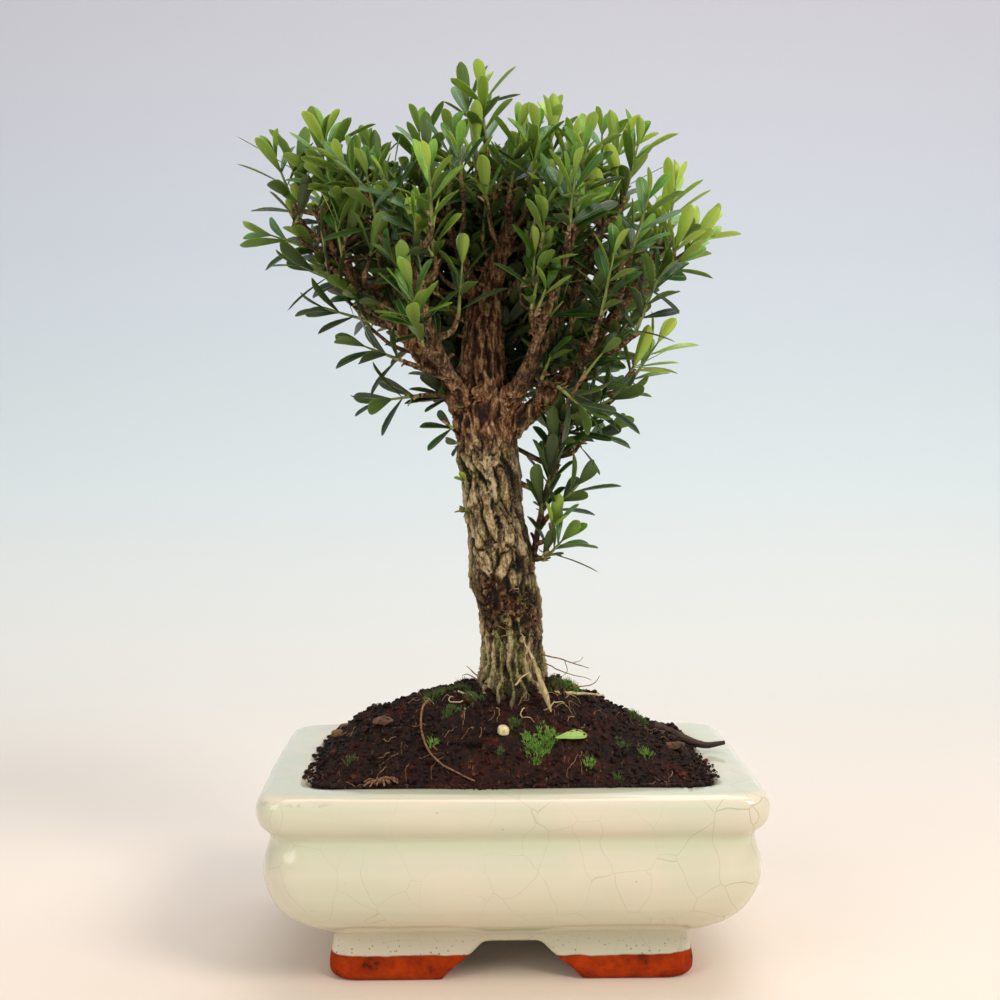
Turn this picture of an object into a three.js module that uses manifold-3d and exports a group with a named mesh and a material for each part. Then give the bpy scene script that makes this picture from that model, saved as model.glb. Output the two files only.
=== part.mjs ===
// Harland boxwood bonsai in a glazed stoneware pot. Millimetres, +Z up, front towards -Y.
// All places are written from the middle of the pot's foot on the table. At the end the whole
// group is shifted in x and y, so that the origin lies under the middle of the part's box.
import * as THREE from 'three';
import { mergeVertices } from 'three/addons/utils/BufferGeometryUtils.js';
import Module from 'manifold-3d';

const wasm = await Module();
wasm.setup();

// Driving dimensions
const GAP = 0.3;
const SEED = 1207;

const POT_WIDTH = 160;
const POT_DEPTH = 110;
const POT_HEIGHT = 65;
const POT_DEPTH_LESS = (POT_WIDTH - POT_DEPTH) / 2;
const FLOOR_TOP = 22;
const FOOT_HOLLOW_TOP = 13;
const FOOT_WALL = 9;
const DRAIN_X = 32;
const DRAIN_RADIUS = 6;
const CORNER_STEPS = 4;

const TRUNK_HOLE_RADIUS = 12.5;
const TRUNK_HOLE_BOTTOM = 45;
const STUMP_TOP = 91;
const FORK_HEIGHT = 178;

const SLIVER = 0.02;
const LEAF_THICKNESS = 1.0;
const STEM_SIDES = 4;

// Half width, height, corner radius and outward bow of the pot's sides, from the foot to the rim
const POT_OUTSIDE = [
  [57.8, 0, 7.5, 0],
  [59.2, 1.6, 8, 0],
  [59.2, 5, 8, 0],
  [58.0, 9, 8, 0],
  [57.5, 15, 8, 0],
  [63.5, 17.8, 9, 0.2],
  [69.5, 21.8, 10, 0.5],
  [74.0, 27, 11, 0.9],
  [76.8, 32.5, 12, 1.2],
  [77.9, 39, 12, 1.3],
  [77.2, 44.5, 12, 1.1],
  [75.6, 48.6, 11, 0.9],
  [75.3, 50.4, 10, 0.8],
  [76.8, 52.4, 9.5, 0.7],
  [78.8, 55.6, 9, 0.5],
  [79.6, 59.3, 9, 0.4],
  [78.9, 62.8, 9, 0.4],
  [76.6, 64.7, 8.5, 0.3],
  [74.5, POT_HEIGHT, 8, 0.2],
];

// Half width, height and corner radius of the space inside the pot
const POT_INSIDE = [
  [62.5, FLOOR_TOP, 9],
  [66.5, 27, 10],
  [69.0, 36, 11],
  [67.8, 48, 11],
  [65.2, 57, 10],
  [64.0, 62, 9],
  [64.6, 64.2, 9],
  [66.8, POT_HEIGHT + 0.6, 10],
];

const GLAZE = new THREE.MeshStandardMaterial({ color: '#d9dfc6', roughness: 0.16, metalness: 0 });
const PEAT = new THREE.MeshStandardMaterial({ color: '#2b1712', roughness: 0.95, metalness: 0 });
const BARK = new THREE.MeshStandardMaterial({ color: '#86694a', roughness: 0.9, metalness: 0 });
const SCREEN = new THREE.MeshStandardMaterial({ color: '#1d2320', roughness: 0.55, metalness: 0 });
const PEBBLE = new THREE.MeshStandardMaterial({ color: '#d8cd96', roughness: 0.6, metalness: 0 });
const DEAD_WOOD = new THREE.MeshStandardMaterial({ color: '#5a3a26', roughness: 0.9, metalness: 0 });
const PALE_ROOT = new THREE.MeshStandardMaterial({ color: '#cdb98a', roughness: 0.8, metalness: 0 });
const PELLET = new THREE.MeshStandardMaterial({ color: '#5e4630', roughness: 0.85, metalness: 0 });
const LEAF_COLOURS = { young: '#7fb22c', mid: '#4b8a2c', old: '#27551f' };
const LEAF_MATERIALS = {};
for (const [tone, color] of Object.entries(LEAF_COLOURS)) {
  LEAF_MATERIALS[tone] = new THREE.MeshStandardMaterial({ color, roughness: 0.35, metalness: 0 });
}

const bonsai = new THREE.Group();
bonsai.name = 'harland_boxwood_bonsai';

// A number from 0 to 1 that depends only on the shoot, the leaf and the use it is drawn for
function draw(shoot, leaf, use) {
  let h = Math.imul(shoot + SEED, 374761393) ^ Math.imul(leaf + 17, 668265263);
  h ^= Math.imul(use + 5, 1274126177);
  h = Math.imul(h ^ (h >>> 15), 2246822519);
  h = Math.imul(h ^ (h >>> 13), 3266489917);
  return ((h ^ (h >>> 16)) >>> 0) / 4294967296;
}

function mix(a, b, t) {
  return a + (b - a) * t;
}

// Value at x of a curve given as [x, value, ...] rows, straight between the rows
function along(rows, x, column = 1) {
  if (x <= rows[0][0]) return rows[0][column];
  for (let i = 1; i < rows.length; i += 1) {
    const [a, b] = [rows[i - 1], rows[i]];
    if (x <= b[0]) return mix(a[column], b[column], (x - a[0]) / (b[0] - a[0]));
  }
  return rows[rows.length - 1][column];
}

// Join rings of equally many points into a closed skin with a fan at both ends
function loft(rings) {
  const count = rings[0].length;
  const points = rings.flat();
  const bottom = points.length;
  for (const ring of [rings[0], rings[rings.length - 1]]) {
    const middle = new THREE.Vector3();
    for (const point of ring) middle.add(point);
    points.push(middle.divideScalar(count));
  }
  const faces = [];
  for (let i = 0; i < count; i += 1) {
    const j = (i + 1) % count;
    faces.push(bottom, j, i);
    for (let level = 0; level < rings.length - 1; level += 1) {
      const a = level * count + i;
      const b = level * count + j;
      faces.push(a, b, b + count, a, b + count, a + count);
    }
    const last = (rings.length - 1) * count;
    faces.push(bottom + 1, last + i, last + j);
  }
  const geometry = new THREE.BufferGeometry().setFromPoints(points);
  geometry.setIndex(faces);
  return geometry;
}

function solidFrom(geometry) {
  const bare = geometry.clone();
  bare.deleteAttribute('normal');
  bare.deleteAttribute('uv');
  const merged = mergeVertices(bare, 1e-5);
  const solid = new wasm.Manifold(new wasm.Mesh({
    numProp: 3,
    vertProperties: new Float32Array(merged.attributes.position.array),
    triVerts: new Uint32Array(merged.index.array),
  }));
  return solid;
}

function geometryFrom(solid) {
  const mesh = solid.getMesh();
  const geometry = new THREE.BufferGeometry();
  geometry.setAttribute('position', new THREE.BufferAttribute(mesh.vertProperties, 3));
  geometry.setIndex(new THREE.BufferAttribute(mesh.triVerts, 1));
  geometry.computeVertexNormals();
  return geometry;
}

function place(name, solid, material) {
  const mesh = new THREE.Mesh(geometryFrom(solid.simplify(SLIVER)), material);
  mesh.name = name;
  bonsai.add(mesh);
}

// A ring of a rounded rectangle: arcs at the corners and a few points on each bowed side
function roundedRing(halfX, halfY, radius, bow, z, sidePoints) {
  const ring = [];
  const corners = [[1, -1, -90], [1, 1, 0], [-1, 1, 90], [-1, -1, 180]];
  corners.forEach(([signX, signY, start], corner) => {
    for (let step = 0; step <= CORNER_STEPS; step += 1) {
      const angle = THREE.MathUtils.degToRad(start + (90 * step) / CORNER_STEPS);
      const x = signX * (halfX - radius) + radius * Math.cos(angle);
      const y = signY * (halfY - radius) + radius * Math.sin(angle);
      ring.push(new THREE.Vector3(x, y, z));
    }
    const endways = corner % 2 === 0;
    const out = new THREE.Vector3(endways ? signX : 0, endways ? 0 : signY, 0);
    const run = new THREE.Vector3(-out.y, out.x, 0);
    const straight = (endways ? halfY : halfX) - radius;
    for (let i = 1; i <= sidePoints; i += 1) {
      const t = (2 * i) / (sidePoints + 1) - 1;
      const point = out.clone().multiplyScalar((endways ? halfX : halfY) + bow * (1 - t * t));
      ring.push(point.addScaledVector(run, t * straight).setZ(z));
    }
  });
  return ring;
}

function potRing([half, z, radius, bow = 0], inset = 0, sidePoints = 1) {
  return roundedRing(half - inset, half - inset - POT_DEPTH_LESS, radius - inset, bow, z, sidePoints);
}

// The pot

function archCutter(bottomHalf, topHalf, top, reach, turned) {
  const shape = new THREE.Shape();
  shape.moveTo(-bottomHalf, -1);
  shape.lineTo(-bottomHalf, 0);
  shape.bezierCurveTo(-bottomHalf + 4, top * 0.25, -topHalf - 5, top * 0.95, -topHalf, top);
  shape.lineTo(topHalf, top);
  shape.bezierCurveTo(topHalf + 5, top * 0.95, bottomHalf - 4, top * 0.25, bottomHalf, 0);
  shape.lineTo(bottomHalf, -1);
  const geometry = new THREE.ExtrudeGeometry(shape, {
    depth: 2 * reach,
    bevelEnabled: false,
    curveSegments: 5,
  });
  geometry.translate(0, 0, -reach);
  geometry.rotateX(Math.PI / 2);
  if (turned) geometry.rotateZ(Math.PI / 2);
  return solidFrom(geometry);
}

function makePot() {
  let pot = solidFrom(loft(POT_OUTSIDE.map((row) => potRing(row))));
  pot = pot.subtract(solidFrom(loft(POT_INSIDE.map((row) => potRing(row)))));
  const hollowHalf = POT_OUTSIDE[2][0] - FOOT_WALL;
  const hollow = [-1, FOOT_HOLLOW_TOP].map((z) => potRing([hollowHalf, z, 5]));
  pot = pot.subtract(solidFrom(loft(hollow)));
  pot = pot.subtract(archCutter(22, 10, 12, POT_DEPTH, false));
  pot = pot.subtract(archCutter(12, 6, 10, POT_WIDTH, true));
  for (const x of [-DRAIN_X, DRAIN_X]) {
    const drain = new THREE.CylinderGeometry(DRAIN_RADIUS, DRAIN_RADIUS, FLOOR_TOP, 16);
    drain.rotateX(Math.PI / 2);
    drain.translate(x, 0, FLOOR_TOP - 4);
    pot = pot.subtract(solidFrom(drain));
  }
  return pot;
}

// A square plastic screen of crossed bars, lying over a drain hole
const SCREEN_HALF = 9;
const SCREEN_BAR = 1.2;
const SCREEN_BARS = 3;
const SCREEN_HEIGHT = 1;
const CROSS_BAR_HEIGHT = 0.8;

function makeScreen(x) {
  let screen = null;
  const pitch = (2 * SCREEN_HALF - SCREEN_BAR) / (SCREEN_BARS - 1);
  for (let i = 0; i < SCREEN_BARS; i += 1) {
    const shift = -SCREEN_HALF + SCREEN_BAR / 2 + i * pitch;
    const lengthways = new THREE.BoxGeometry(2 * SCREEN_HALF, SCREEN_BAR, SCREEN_HEIGHT);
    const crossways = new THREE.BoxGeometry(SCREEN_BAR, 2 * SCREEN_HALF - 0.4, CROSS_BAR_HEIGHT);
    lengthways.translate(0, shift, 0);
    crossways.translate(shift, 0, 0);
    const bars = solidFrom(lengthways).add(solidFrom(crossways));
    screen = screen ? screen.add(bars) : bars;
  }
  return screen.translate([x, 0, FLOOR_TOP + GAP + SCREEN_HEIGHT / 2]);
}

// The soil

const SOIL_EDGE = 65;
const SOIL_BACK_RISE = 2.5;
const SOIL_MOUND = 25.5;
const SOIL_HALF_X = 64;
const SOIL_HALF_Y = SOIL_HALF_X - POT_DEPTH_LESS;
const SOIL_SIDE_POINTS = 3;

// Height of the mound over the table: a dome over the pot's opening, with low humps
function soilHeight(x, y) {
  const power = 2.6;
  const reach = Math.abs(x / SOIL_HALF_X) ** power + Math.abs(y / SOIL_HALF_Y) ** power;
  const s = Math.min(1, reach ** (1 / power));
  const edge = SOIL_EDGE + (SOIL_BACK_RISE * y) / SOIL_HALF_Y;
  const humps = 0.7 * Math.sin(x / 6.1 + 1.3 * Math.sin(y / 7.3)) + 0.5 * Math.sin(y / 4.2 + x / 9.7);
  return edge + SOIL_MOUND * (1 - s ** 1.9) + humps * (1 - s ** 4);
}

function makeSoil() {
  const levels = POT_INSIDE.filter((row) => row[1] < 63);
  const rings = levels.map((row) => potRing(row, GAP, SOIL_SIDE_POINTS));
  for (const point of rings[0]) point.z += GAP;
  const rim = rings[rings.length - 1];
  const first = Math.atan2(rim[0].y / SOIL_HALF_Y, rim[0].x / SOIL_HALF_X);
  const steps = [0, 0.13, 0.28, 0.44, 0.6, 0.76, 0.9, 1];
  for (const step of steps) {
    rings.push(rim.map((edge, i) => {
      const angle = first + (2 * Math.PI * i) / rim.length;
      const x = mix(edge.x, TRUNK_HOLE_RADIUS * Math.cos(angle), step);
      const y = mix(edge.y, TRUNK_HOLE_RADIUS * Math.sin(angle), step);
      const z = Math.max(soilHeight(x, y), edge.z + 0.8);
      return new THREE.Vector3(x, y, Math.min(z, STUMP_TOP - 2 * GAP));
    }));
  }
  const mouth = rings[rings.length - 1];
  rings.push(mouth.map((point) => new THREE.Vector3(point.x, point.y, TRUNK_HOLE_BOTTOM - GAP)));
  let soil = solidFrom(loft(rings));
  const pocketHalf = SCREEN_HALF + GAP;
  const pocketHeight = 2 * (SCREEN_HEIGHT + 2 * GAP);
  for (const x of [-DRAIN_X, DRAIN_X]) {
    const pocket = new THREE.BoxGeometry(2 * pocketHalf, 2 * pocketHalf, pocketHeight);
    pocket.translate(x, 0, FLOOR_TOP);
    soil = soil.subtract(solidFrom(pocket));
  }
  return soil;
}

// Trunk, branches and twigs

// Rings round a smooth curve through the points, with a radius at each point. The last ring
// faces along `end` where that is given.
function tubeRings(points, radii, sides, steps, end) {
  const curve = new THREE.CatmullRomCurve3(points.map((p) => new THREE.Vector3(...p)));
  const rings = [];
  let side = new THREE.Vector3(0.31, 0.95, 0.07);
  for (let i = 0; i <= steps; i += 1) {
    const t = i / steps;
    const centre = curve.getPoint(t);
    const forward = i === steps && end ? end : curve.getTangent(t);
    side = side.sub(forward.clone().multiplyScalar(side.dot(forward))).normalize();
    const other = new THREE.Vector3().crossVectors(forward, side);
    const place = t * (radii.length - 1);
    const low = Math.min(Math.floor(place), radii.length - 2);
    const radius = mix(radii[low], radii[low + 1], place - low);
    const ring = [];
    for (let k = 0; k < sides; k += 1) {
      const angle = (2 * Math.PI * k) / sides;
      const out = side.clone().multiplyScalar(Math.cos(angle)).addScaledVector(other, Math.sin(angle));
      ring.push(centre.clone().addScaledVector(out, radius));
    }
    rings.push(ring);
  }
  return rings;
}

function tube(points, radii, sides, steps, end = null) {
  return solidFrom(loft(tubeRings(points, radii, sides, steps, end)));
}

// Height, middle x, middle y and radius of the trunk, from its foot to the fork
const TRUNK = [
  [STUMP_TOP, 1.2, 0, 11.9],
  [96, 0.6, 0, 11.3],
  [104.6, 0.1, 0, 10.5],
  [118, -1.0, 0, 10.5],
  [131.8, -2.3, 0, 10.6],
  [145.3, -3.5, 0, 10.7],
  [158.8, -5.1, 0, 11.0],
  [168.9, -6.5, 0, 11.2],
  [FORK_HEIGHT, -8.2, 0, 10.8],
  [186, -9.0, 0.4, 8.8],
];
const BARK_RIDGES = 9;
const BARK_RELIEF = 1.1;
const TRUNK_SIDES = 36;
const TRUNK_STEP = 7;

// Wavering upright ridges that join and part, as height over the trunk's round
function barkRelief(angle, z) {
  const waver = 0.6 * Math.sin(z / 11 + 2 * angle) + 0.4 * Math.sin(z / 7 - angle);
  const ridge = Math.cos(BARK_RIDGES * angle + 1.6 * waver);
  const breaks = Math.cos(z / 3.4 + 3 * angle + 2 * Math.sin(2 * angle));
  return BARK_RELIEF * (0.75 * ridge + 0.25 * breaks);
}

function makeTrunk() {
  const rings = [];
  const levels = [TRUNK_HOLE_BOTTOM, 60, STUMP_TOP - 1];
  const top = TRUNK[TRUNK.length - 1][0];
  const count = Math.round((top - STUMP_TOP) / TRUNK_STEP);
  for (let i = 1; i <= count; i += 1) levels.push(mix(STUMP_TOP, top, i / count));
  levels.forEach((z, level) => {
    const buried = level < 3;
    const ring = [];
    for (let k = 0; k < TRUNK_SIDES; k += 1) {
      const angle = (2 * Math.PI * k) / TRUNK_SIDES;
      const fade = Math.min(1, (z - STUMP_TOP) / 6) * Math.min(1, (top + 4 - z) / 10);
      let radius = TRUNK_HOLE_RADIUS - GAP;
      if (level === 0) radius *= 0.7;
      if (!buried) radius = along(TRUNK, z, 3) + fade * barkRelief(angle, z);
      const x = (buried ? 0 : along(TRUNK, z, 1)) + radius * Math.cos(angle);
      const y = (buried ? 0 : along(TRUNK, z, 2)) + radius * Math.sin(angle);
      ring.push(new THREE.Vector3(x, y, z));
    }
    rings.push(ring);
  });
  return solidFrom(loft(rings));
}

// Points and radii of the main branches, each from inside the wood that it leaves
const BRANCHES = [
  {
    points: [[-9, 0, 180], [-9.2, 0, 194], [-8.8, 0, 207], [-7.9, 0, 220], [-4.6, -1, 230],
      [-1.2, -2, 238], [0.9, -3, 248], [1.6, -4, 258]],
    radii: [9.2, 7.4, 6.9, 5.2, 3.4, 2.6, 2.0, 1.5],
    sides: 9,
    steps: 8,
  },
  {
    points: [[-11, -1, 176], [-17, -3, 186], [-24, -5, 195], [-36.6, -8, 210], [-53, -10, 228],
      [-60, -10, 239], [-64, -9, 249]],
    radii: [5.2, 4.6, 3.9, 3.1, 2.3, 1.8, 1.3],
    sides: 7,
    steps: 7,
  },
  {
    points: [[-6, -1, 171], [3, -3, 179], [11, -5, 185], [20.5, -7, 196], [30, -8, 208],
      [42, -8, 224], [52, -8, 239]],
    radii: [4.6, 4.0, 3.4, 2.8, 2.4, 1.9, 1.3],
    sides: 7,
    steps: 7,
  },
  {
    points: [[-4, -2, 180], [3, -5, 188], [9.5, -9, 201], [16, -12, 212], [23, -14, 224], [30, -12, 243]],
    radii: [3.2, 2.5, 2.1, 1.9, 1.6, 1.1],
    sides: 6,
    steps: 7,
  },
  {
    points: [[-8.5, 0, 214], [-13, 0, 226], [-19, -2, 240], [-26, -3, 254]],
    radii: [3.2, 2.5, 2.0, 1.2],
    sides: 6,
    steps: 5,
  },
  {
    points: [[2, 0, 126], [7.5, -1, 133], [9.6, -1, 142], [11.2, -1, 151], [14, -2, 161],
      [17.5, -2, 172], [22, -3, 184]],
    radii: [1.7, 1.5, 1.3, 1.2, 1.2, 1.1, 0.9],
    sides: 5,
    steps: 8,
  },
  {
    points: [[-9, 3, 184], [-15, 12, 196], [-23, 22, 210], [-32, 32, 226], [-38, 38, 242]],
    radii: [4.2, 3.4, 2.7, 2.0, 1.3],
    sides: 6,
    steps: 6,
  },
  {
    points: [[-8, 3, 190], [-5, 12, 204], [-2, 24, 220], [1, 34, 240]],
    radii: [3.8, 3.0, 2.2, 1.3],
    sides: 6,
    steps: 5,
  },
  {
    points: [[-6, 2, 178], [4, 10, 190], [17, 19, 203], [30, 25, 219], [40, 27, 236]],
    radii: [3.9, 3.1, 2.4, 1.8, 1.2],
    sides: 6,
    steps: 6,
  },
  {
    points: [[-13, -4, 182], [-19, -12, 192], [-25, -21, 205], [-30, -28, 222], [-35, -32, 238]],
    radii: [3.4, 2.6, 2.1, 1.6, 1.1],
    sides: 6,
    steps: 6,
  },
  {
    points: [[-3, -4, 183], [4, -13, 194], [9, -21, 207], [14, -28, 222], [20, -33, 238]],
    radii: [3.0, 2.3, 1.9, 1.5, 1.0],
    sides: 6,
    steps: 6,
  },
];

// Each leafy shoot: name, foot of its green stem, tip of its last leaves, tone of its leaves
const SHOOTS = [
  ['far_left', [-69, -7, 245], [-80, -8, 273], 'mid'],
  ['far_left_low', [-62, -3, 234], [-88, -4, 243], 'mid'],
  ['left_high', [-58, -14, 251], [-60, -16, 280], 'young'],
  ['left_low', [-53, -14, 223], [-77, -18, 232], 'old'],
  ['left_lower', [-45, -9, 211], [-70, -12, 218], 'old'],
  ['left_lowest', [-35, -18, 198], [-56, -25, 206], 'old'],
  ['left_tuft', [-44, 3, 250], [-48, 4, 277], 'mid'],
  ['crown_left', [-30, 1, 258], [-30, 1, 284], 'mid'],
  ['crown_left_front', [-20, -14, 252], [-19, -18, 279], 'mid'],
  ['apex', [-8, -3, 268], [-10, -4, 297], 'young'],
  ['apex_right', [0, -14, 254], [4, -18, 281], 'mid'],
  ['crown_middle_front', [7, -20, 251], [8, -24, 279], 'mid'],
  ['crown_right', [14, 0, 260], [13, 0, 287], 'young'],
  ['crown_right_front', [22, -19, 250], [25, -23, 277], 'mid'],
  ['crown_right_outer', [31, 3, 257], [31, 3, 284], 'mid'],
  ['right_shoulder', [37, -8, 250], [44, -10, 278], 'mid'],
  ['right_bright', [51, -11, 238], [55, -13, 264], 'young'],
  ['right_bright_outer', [54, -4, 229], [70, -4, 250], 'young'],
  ['right_middle', [42, -17, 221], [61, -23, 236], 'mid'],
  ['right_low_bright', [40, -2, 191], [55, -4, 213], 'young'],
  ['right_low', [24, -11, 182], [46, -15, 191], 'old'],
  ['right_lower', [22, 5, 170], [42, 6, 180], 'old'],
  ['side_shoot_middle', [14, -5, 148], [29, -10, 165], 'old'],
  ['side_shoot_foot', [12.5, -3, 133], [24, -6, 146], 'mid'],
  ['front_left_bright', [-28, -33, 202], [-33, -43, 229], 'young'],
  ['front_left_high', [-24, -27, 229], [-30, -33, 253], 'mid'],
  ['front_left_inner', [-17, -23, 212], [-15, -28, 238], 'mid'],
  ['front_right_inner', [6, -27, 214], [12, -33, 241], 'mid'],
  ['front_right', [28, -29, 212], [33, -37, 240], 'mid'],
  ['front_right_outer', [39, -24, 206], [49, -32, 232], 'old'],
  ['left_under', [-30, -11, 187], [-52, -17, 184], 'old'],
  ['right_under', [15, -17, 190], [31, -25, 176], 'old'],
  ['front_left_top', [-42, -28, 238], [-47, -36, 264], 'mid'],
  ['front_middle_top', [-25, -38, 239], [-26, -47, 264], 'young'],
  ['front_right_top', [17, -39, 237], [19, -49, 262], 'mid'],
  ['front_right_side', [37, -33, 231], [44, -42, 256], 'mid'],
  ['back_left', [-55, 24, 236], [-67, 30, 262], 'mid'],
  ['back_left_top', [-34, 42, 240], [-40, 51, 266], 'mid'],
  ['back_middle_top', [-6, 46, 246], [-7, 56, 271], 'young'],
  ['back_right_top', [20, 42, 243], [25, 51, 268], 'mid'],
  ['back_right', [45, 27, 233], [56, 32, 258], 'young'],
  ['back_left_low', [-29, 31, 207], [-44, 45, 222], 'old'],
  ['back_middle_low', [2, 34, 212], [4, 54, 228], 'old'],
  ['back_right_low', [29, 24, 200], [47, 36, 214], 'old'],
  ['inner_left', [-15, 17, 255], [-17, 19, 282], 'mid'],
  ['inner_right', [11, 19, 251], [13, 22, 279], 'mid'],
];

const TWIG_RADII = [1.5, 1.2, 0.95];
const TWIG_SIDES = 4;

function vector(list) {
  return new THREE.Vector3(...list);
}

// The point inside a branch from which a twig reaches a shoot on the shortest climbing way
function twigRoot(foot, direction) {
  let best = null;
  for (const branch of BRANCHES) {
    const curve = new THREE.CatmullRomCurve3(branch.points.map(vector));
    for (let i = 3; i <= 20; i += 1) {
      const point = curve.getPoint(i / 20);
      const way = foot.clone().sub(point);
      const length = way.length();
      const against = length > 0 ? Math.max(0, 0.35 - way.dot(direction) / length) : 0;
      const cost = length + 22 * against + (length < 6 ? 12 - 2 * length : 0);
      if (best === null || cost < best.cost) best = { cost, point };
    }
  }
  return best.point;
}

function shootFrame(row) {
  const foot = vector(row[1]);
  const tip = vector(row[2]);
  const direction = tip.clone().sub(foot).normalize();
  return { foot, tip, direction };
}

function makeTwig(row) {
  const { foot, direction } = shootFrame(row);
  const root = twigRoot(foot, direction);
  const before = foot.clone().addScaledVector(direction, -0.4 * foot.distanceTo(root));
  const middle = root.clone().lerp(before, 0.75);
  const points = [root, middle, foot].map((p) => p.toArray());
  return tube(points, TWIG_RADII, TWIG_SIDES, 2, direction);
}

function makeWood() {
  let wood = makeTrunk();
  for (const branch of BRANCHES) {
    wood = wood.add(tube(branch.points, branch.radii, branch.sides, branch.steps));
  }
  for (const row of SHOOTS) wood = wood.add(makeTwig(row));
  return wood;
}

// Leafy shoots

const STEM_RADII = [0.95, 0.6];
const LEAF_REACH = 10;
const PAIR_SPACING = 5.2;
const LEAF_LENGTH = 14.5;
const LEAF_WIDTH = 5.4;
const GUARD = 0.35;
const MIDRIB_TOP = 0.62;

// One leaf, spoon-shaped with a blunt tip, thickest over its midrib and arched backwards
function leafBlade(leaf, guard = 0) {
  const length = leaf.length + guard;
  const half = leaf.width / 2 + guard;
  const outline = [[-0.03, 0], [0.6, 0.98], [0.98, 0.5]];
  const rim = outline.concat(outline.slice(1).reverse().map(([u, v]) => [u, -v]));
  const at = (u, v, lift) => {
    const arch = -leaf.arch * leaf.length * u * u + lift;
    return leaf.root.clone()
      .addScaledVector(leaf.along, u * length)
      .addScaledVector(leaf.across, v * half)
      .addScaledVector(leaf.face, arch);
  };
  const points = rim.map(([u, v]) => at(u, v, 0));
  points.push(at(MIDRIB_TOP, 0, LEAF_THICKNESS / 2 + guard));
  points.push(at(MIDRIB_TOP, 0, -LEAF_THICKNESS / 2 - guard));
  const faces = [];
  const count = rim.length;
  for (let i = 0; i < count; i += 1) {
    const j = (i + 1) % count;
    faces.push(count, j, i, count + 1, i, j);
  }
  const geometry = new THREE.BufferGeometry().setFromPoints(points);
  geometry.setIndex(faces);
  return solidFrom(geometry);
}

// The places and turns of a shoot's leaves: crossed pairs, steeper and younger towards the tip
function leavesOf(index, row) {
  const { foot, tip, direction } = shootFrame(row);
  const total = foot.distanceTo(tip);
  const stem = total - LEAF_REACH;
  const pairs = Math.max(3, Math.round(stem / PAIR_SPACING));
  const side = new THREE.Vector3(direction.y + 0.03, -direction.x + 0.02, 0);
  side.addScaledVector(direction, -side.dot(direction)).normalize();
  const other = new THREE.Vector3().crossVectors(direction, side);
  const turn = 2 * Math.PI * draw(index, 0, 0);
  const leaves = [];
  for (let pair = 0; pair <= pairs; pair += 1) {
    const up = pair / pairs;
    for (let half = 0; half < 2; half += 1) {
      const slot = 2 * pair + half;
      const wander = (use, size) => size * (2 * draw(index, slot, use) - 1);
      const angle = turn + (pair + 2 * half) * (Math.PI / 2) + wander(1, 0.3);
      const lean = mix(1.15, pair === pairs ? 0.3 : 0.5, up) + wander(2, 0.14);
      const out = side.clone().multiplyScalar(Math.cos(angle)).addScaledVector(other, Math.sin(angle));
      const length = LEAF_LENGTH * (1 + wander(3, 0.14)) * (pair === pairs ? 0.82 : 1);
      leaves.push({
        root: foot.clone().addScaledVector(direction, 1.6 + up * (stem - 1.8)),
        direction,
        out,
        lean,
        length,
        width: LEAF_WIDTH * (1 + wander(4, 0.12)) * (pair === pairs ? 0.85 : 1),
        arch: 0.07 + 0.05 * wander(5, 1),
        skew: wander(6, 0.25),
      });
    }
  }
  return leaves;
}

// Set a leaf's axes from its lean off the stem, bent by some extra lean and turn
function aimLeaf(leaf, extraLean, extraTurn) {
  const out = leaf.out.clone().applyAxisAngle(leaf.direction, extraTurn);
  const lean = leaf.lean + extraLean;
  const along = leaf.direction.clone().multiplyScalar(Math.cos(lean)).addScaledVector(out, Math.sin(lean));
  const face = leaf.direction.clone().multiplyScalar(Math.sin(lean)).addScaledVector(out, -Math.cos(lean));
  const across = new THREE.Vector3().crossVectors(face, along).applyAxisAngle(along, leaf.skew);
  return { ...leaf, along, across, face: face.applyAxisAngle(along, leaf.skew) };
}

const BENDS = [
  [0, 0], [0.25, 0], [-0.2, 0], [0, 0.45], [0, -0.45], [0.3, 0.5], [0.3, -0.5], [-0.25, 0.4],
];

function makeShoots(wood) {
  const stems = SHOOTS.map((row) => {
    const { foot, tip, direction } = shootFrame(row);
    const stem = foot.distanceTo(tip) - LEAF_REACH;
    const start = foot.clone().addScaledVector(direction, GAP);
    const middle = start.clone().addScaledVector(direction, stem / 2);
    const end = start.clone().addScaledVector(direction, stem);
    return tube([start, middle, end].map((p) => p.toArray()), STEM_RADII, STEM_SIDES, 1);
  });
  const solids = [...stems];
  let dropped = 0;
  SHOOTS.forEach((row, index) => {
    leavesOf(index, row).forEach((leaf) => {
      const fits = BENDS.map(([lean, turn]) => aimLeaf(leaf, lean, turn)).find((bent) => {
        const guard = leafBlade(bent, GUARD);
        const box = guard.boundingBox();
        const others = solids.filter((solid, other) => other !== index && boxesMeet(solid.boundingBox(), box));
        return [wood, ...others].every((solid) => guard.intersect(solid).isEmpty());
      });
      if (fits) solids[index] = solids[index].add(leafBlade(fits));
      else dropped += 1;
    });
  });
  bonsai.userData.leavesLeftOut = dropped;
  SHOOTS.forEach((row, index) => place(`shoot_${row[0]}`, solids[index], LEAF_MATERIALS[row[3]]));
}

function boxesMeet(a, b) {
  return [0, 1, 2].every((axis) => a.min[axis] < b.max[axis] && b.min[axis] < a.max[axis]);
}

// Loose things on the soil

// A lump or stick set on the soil: sunk a little, then trimmed by the soil raised by the gap
function seat(solid, soil) {
  return solid.subtract(soil.translate([0, 0, GAP]));
}

function lump(x, y, size, turn, soil, sink = 0.25) {
  const geometry = new THREE.IcosahedronGeometry(1, 1);
  geometry.scale(...size);
  geometry.rotateZ(turn);
  geometry.translate(x, y, soilHeight(x, y) + size[2] * (1 - sink));
  return seat(solidFrom(geometry), soil);
}

function stick(points, radii, soil) {
  const lifted = points.map(([x, y, lift]) => [x, y, soilHeight(x, y) + lift]);
  return seat(tube(lifted, radii, 6, 5), soil);
}

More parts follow.
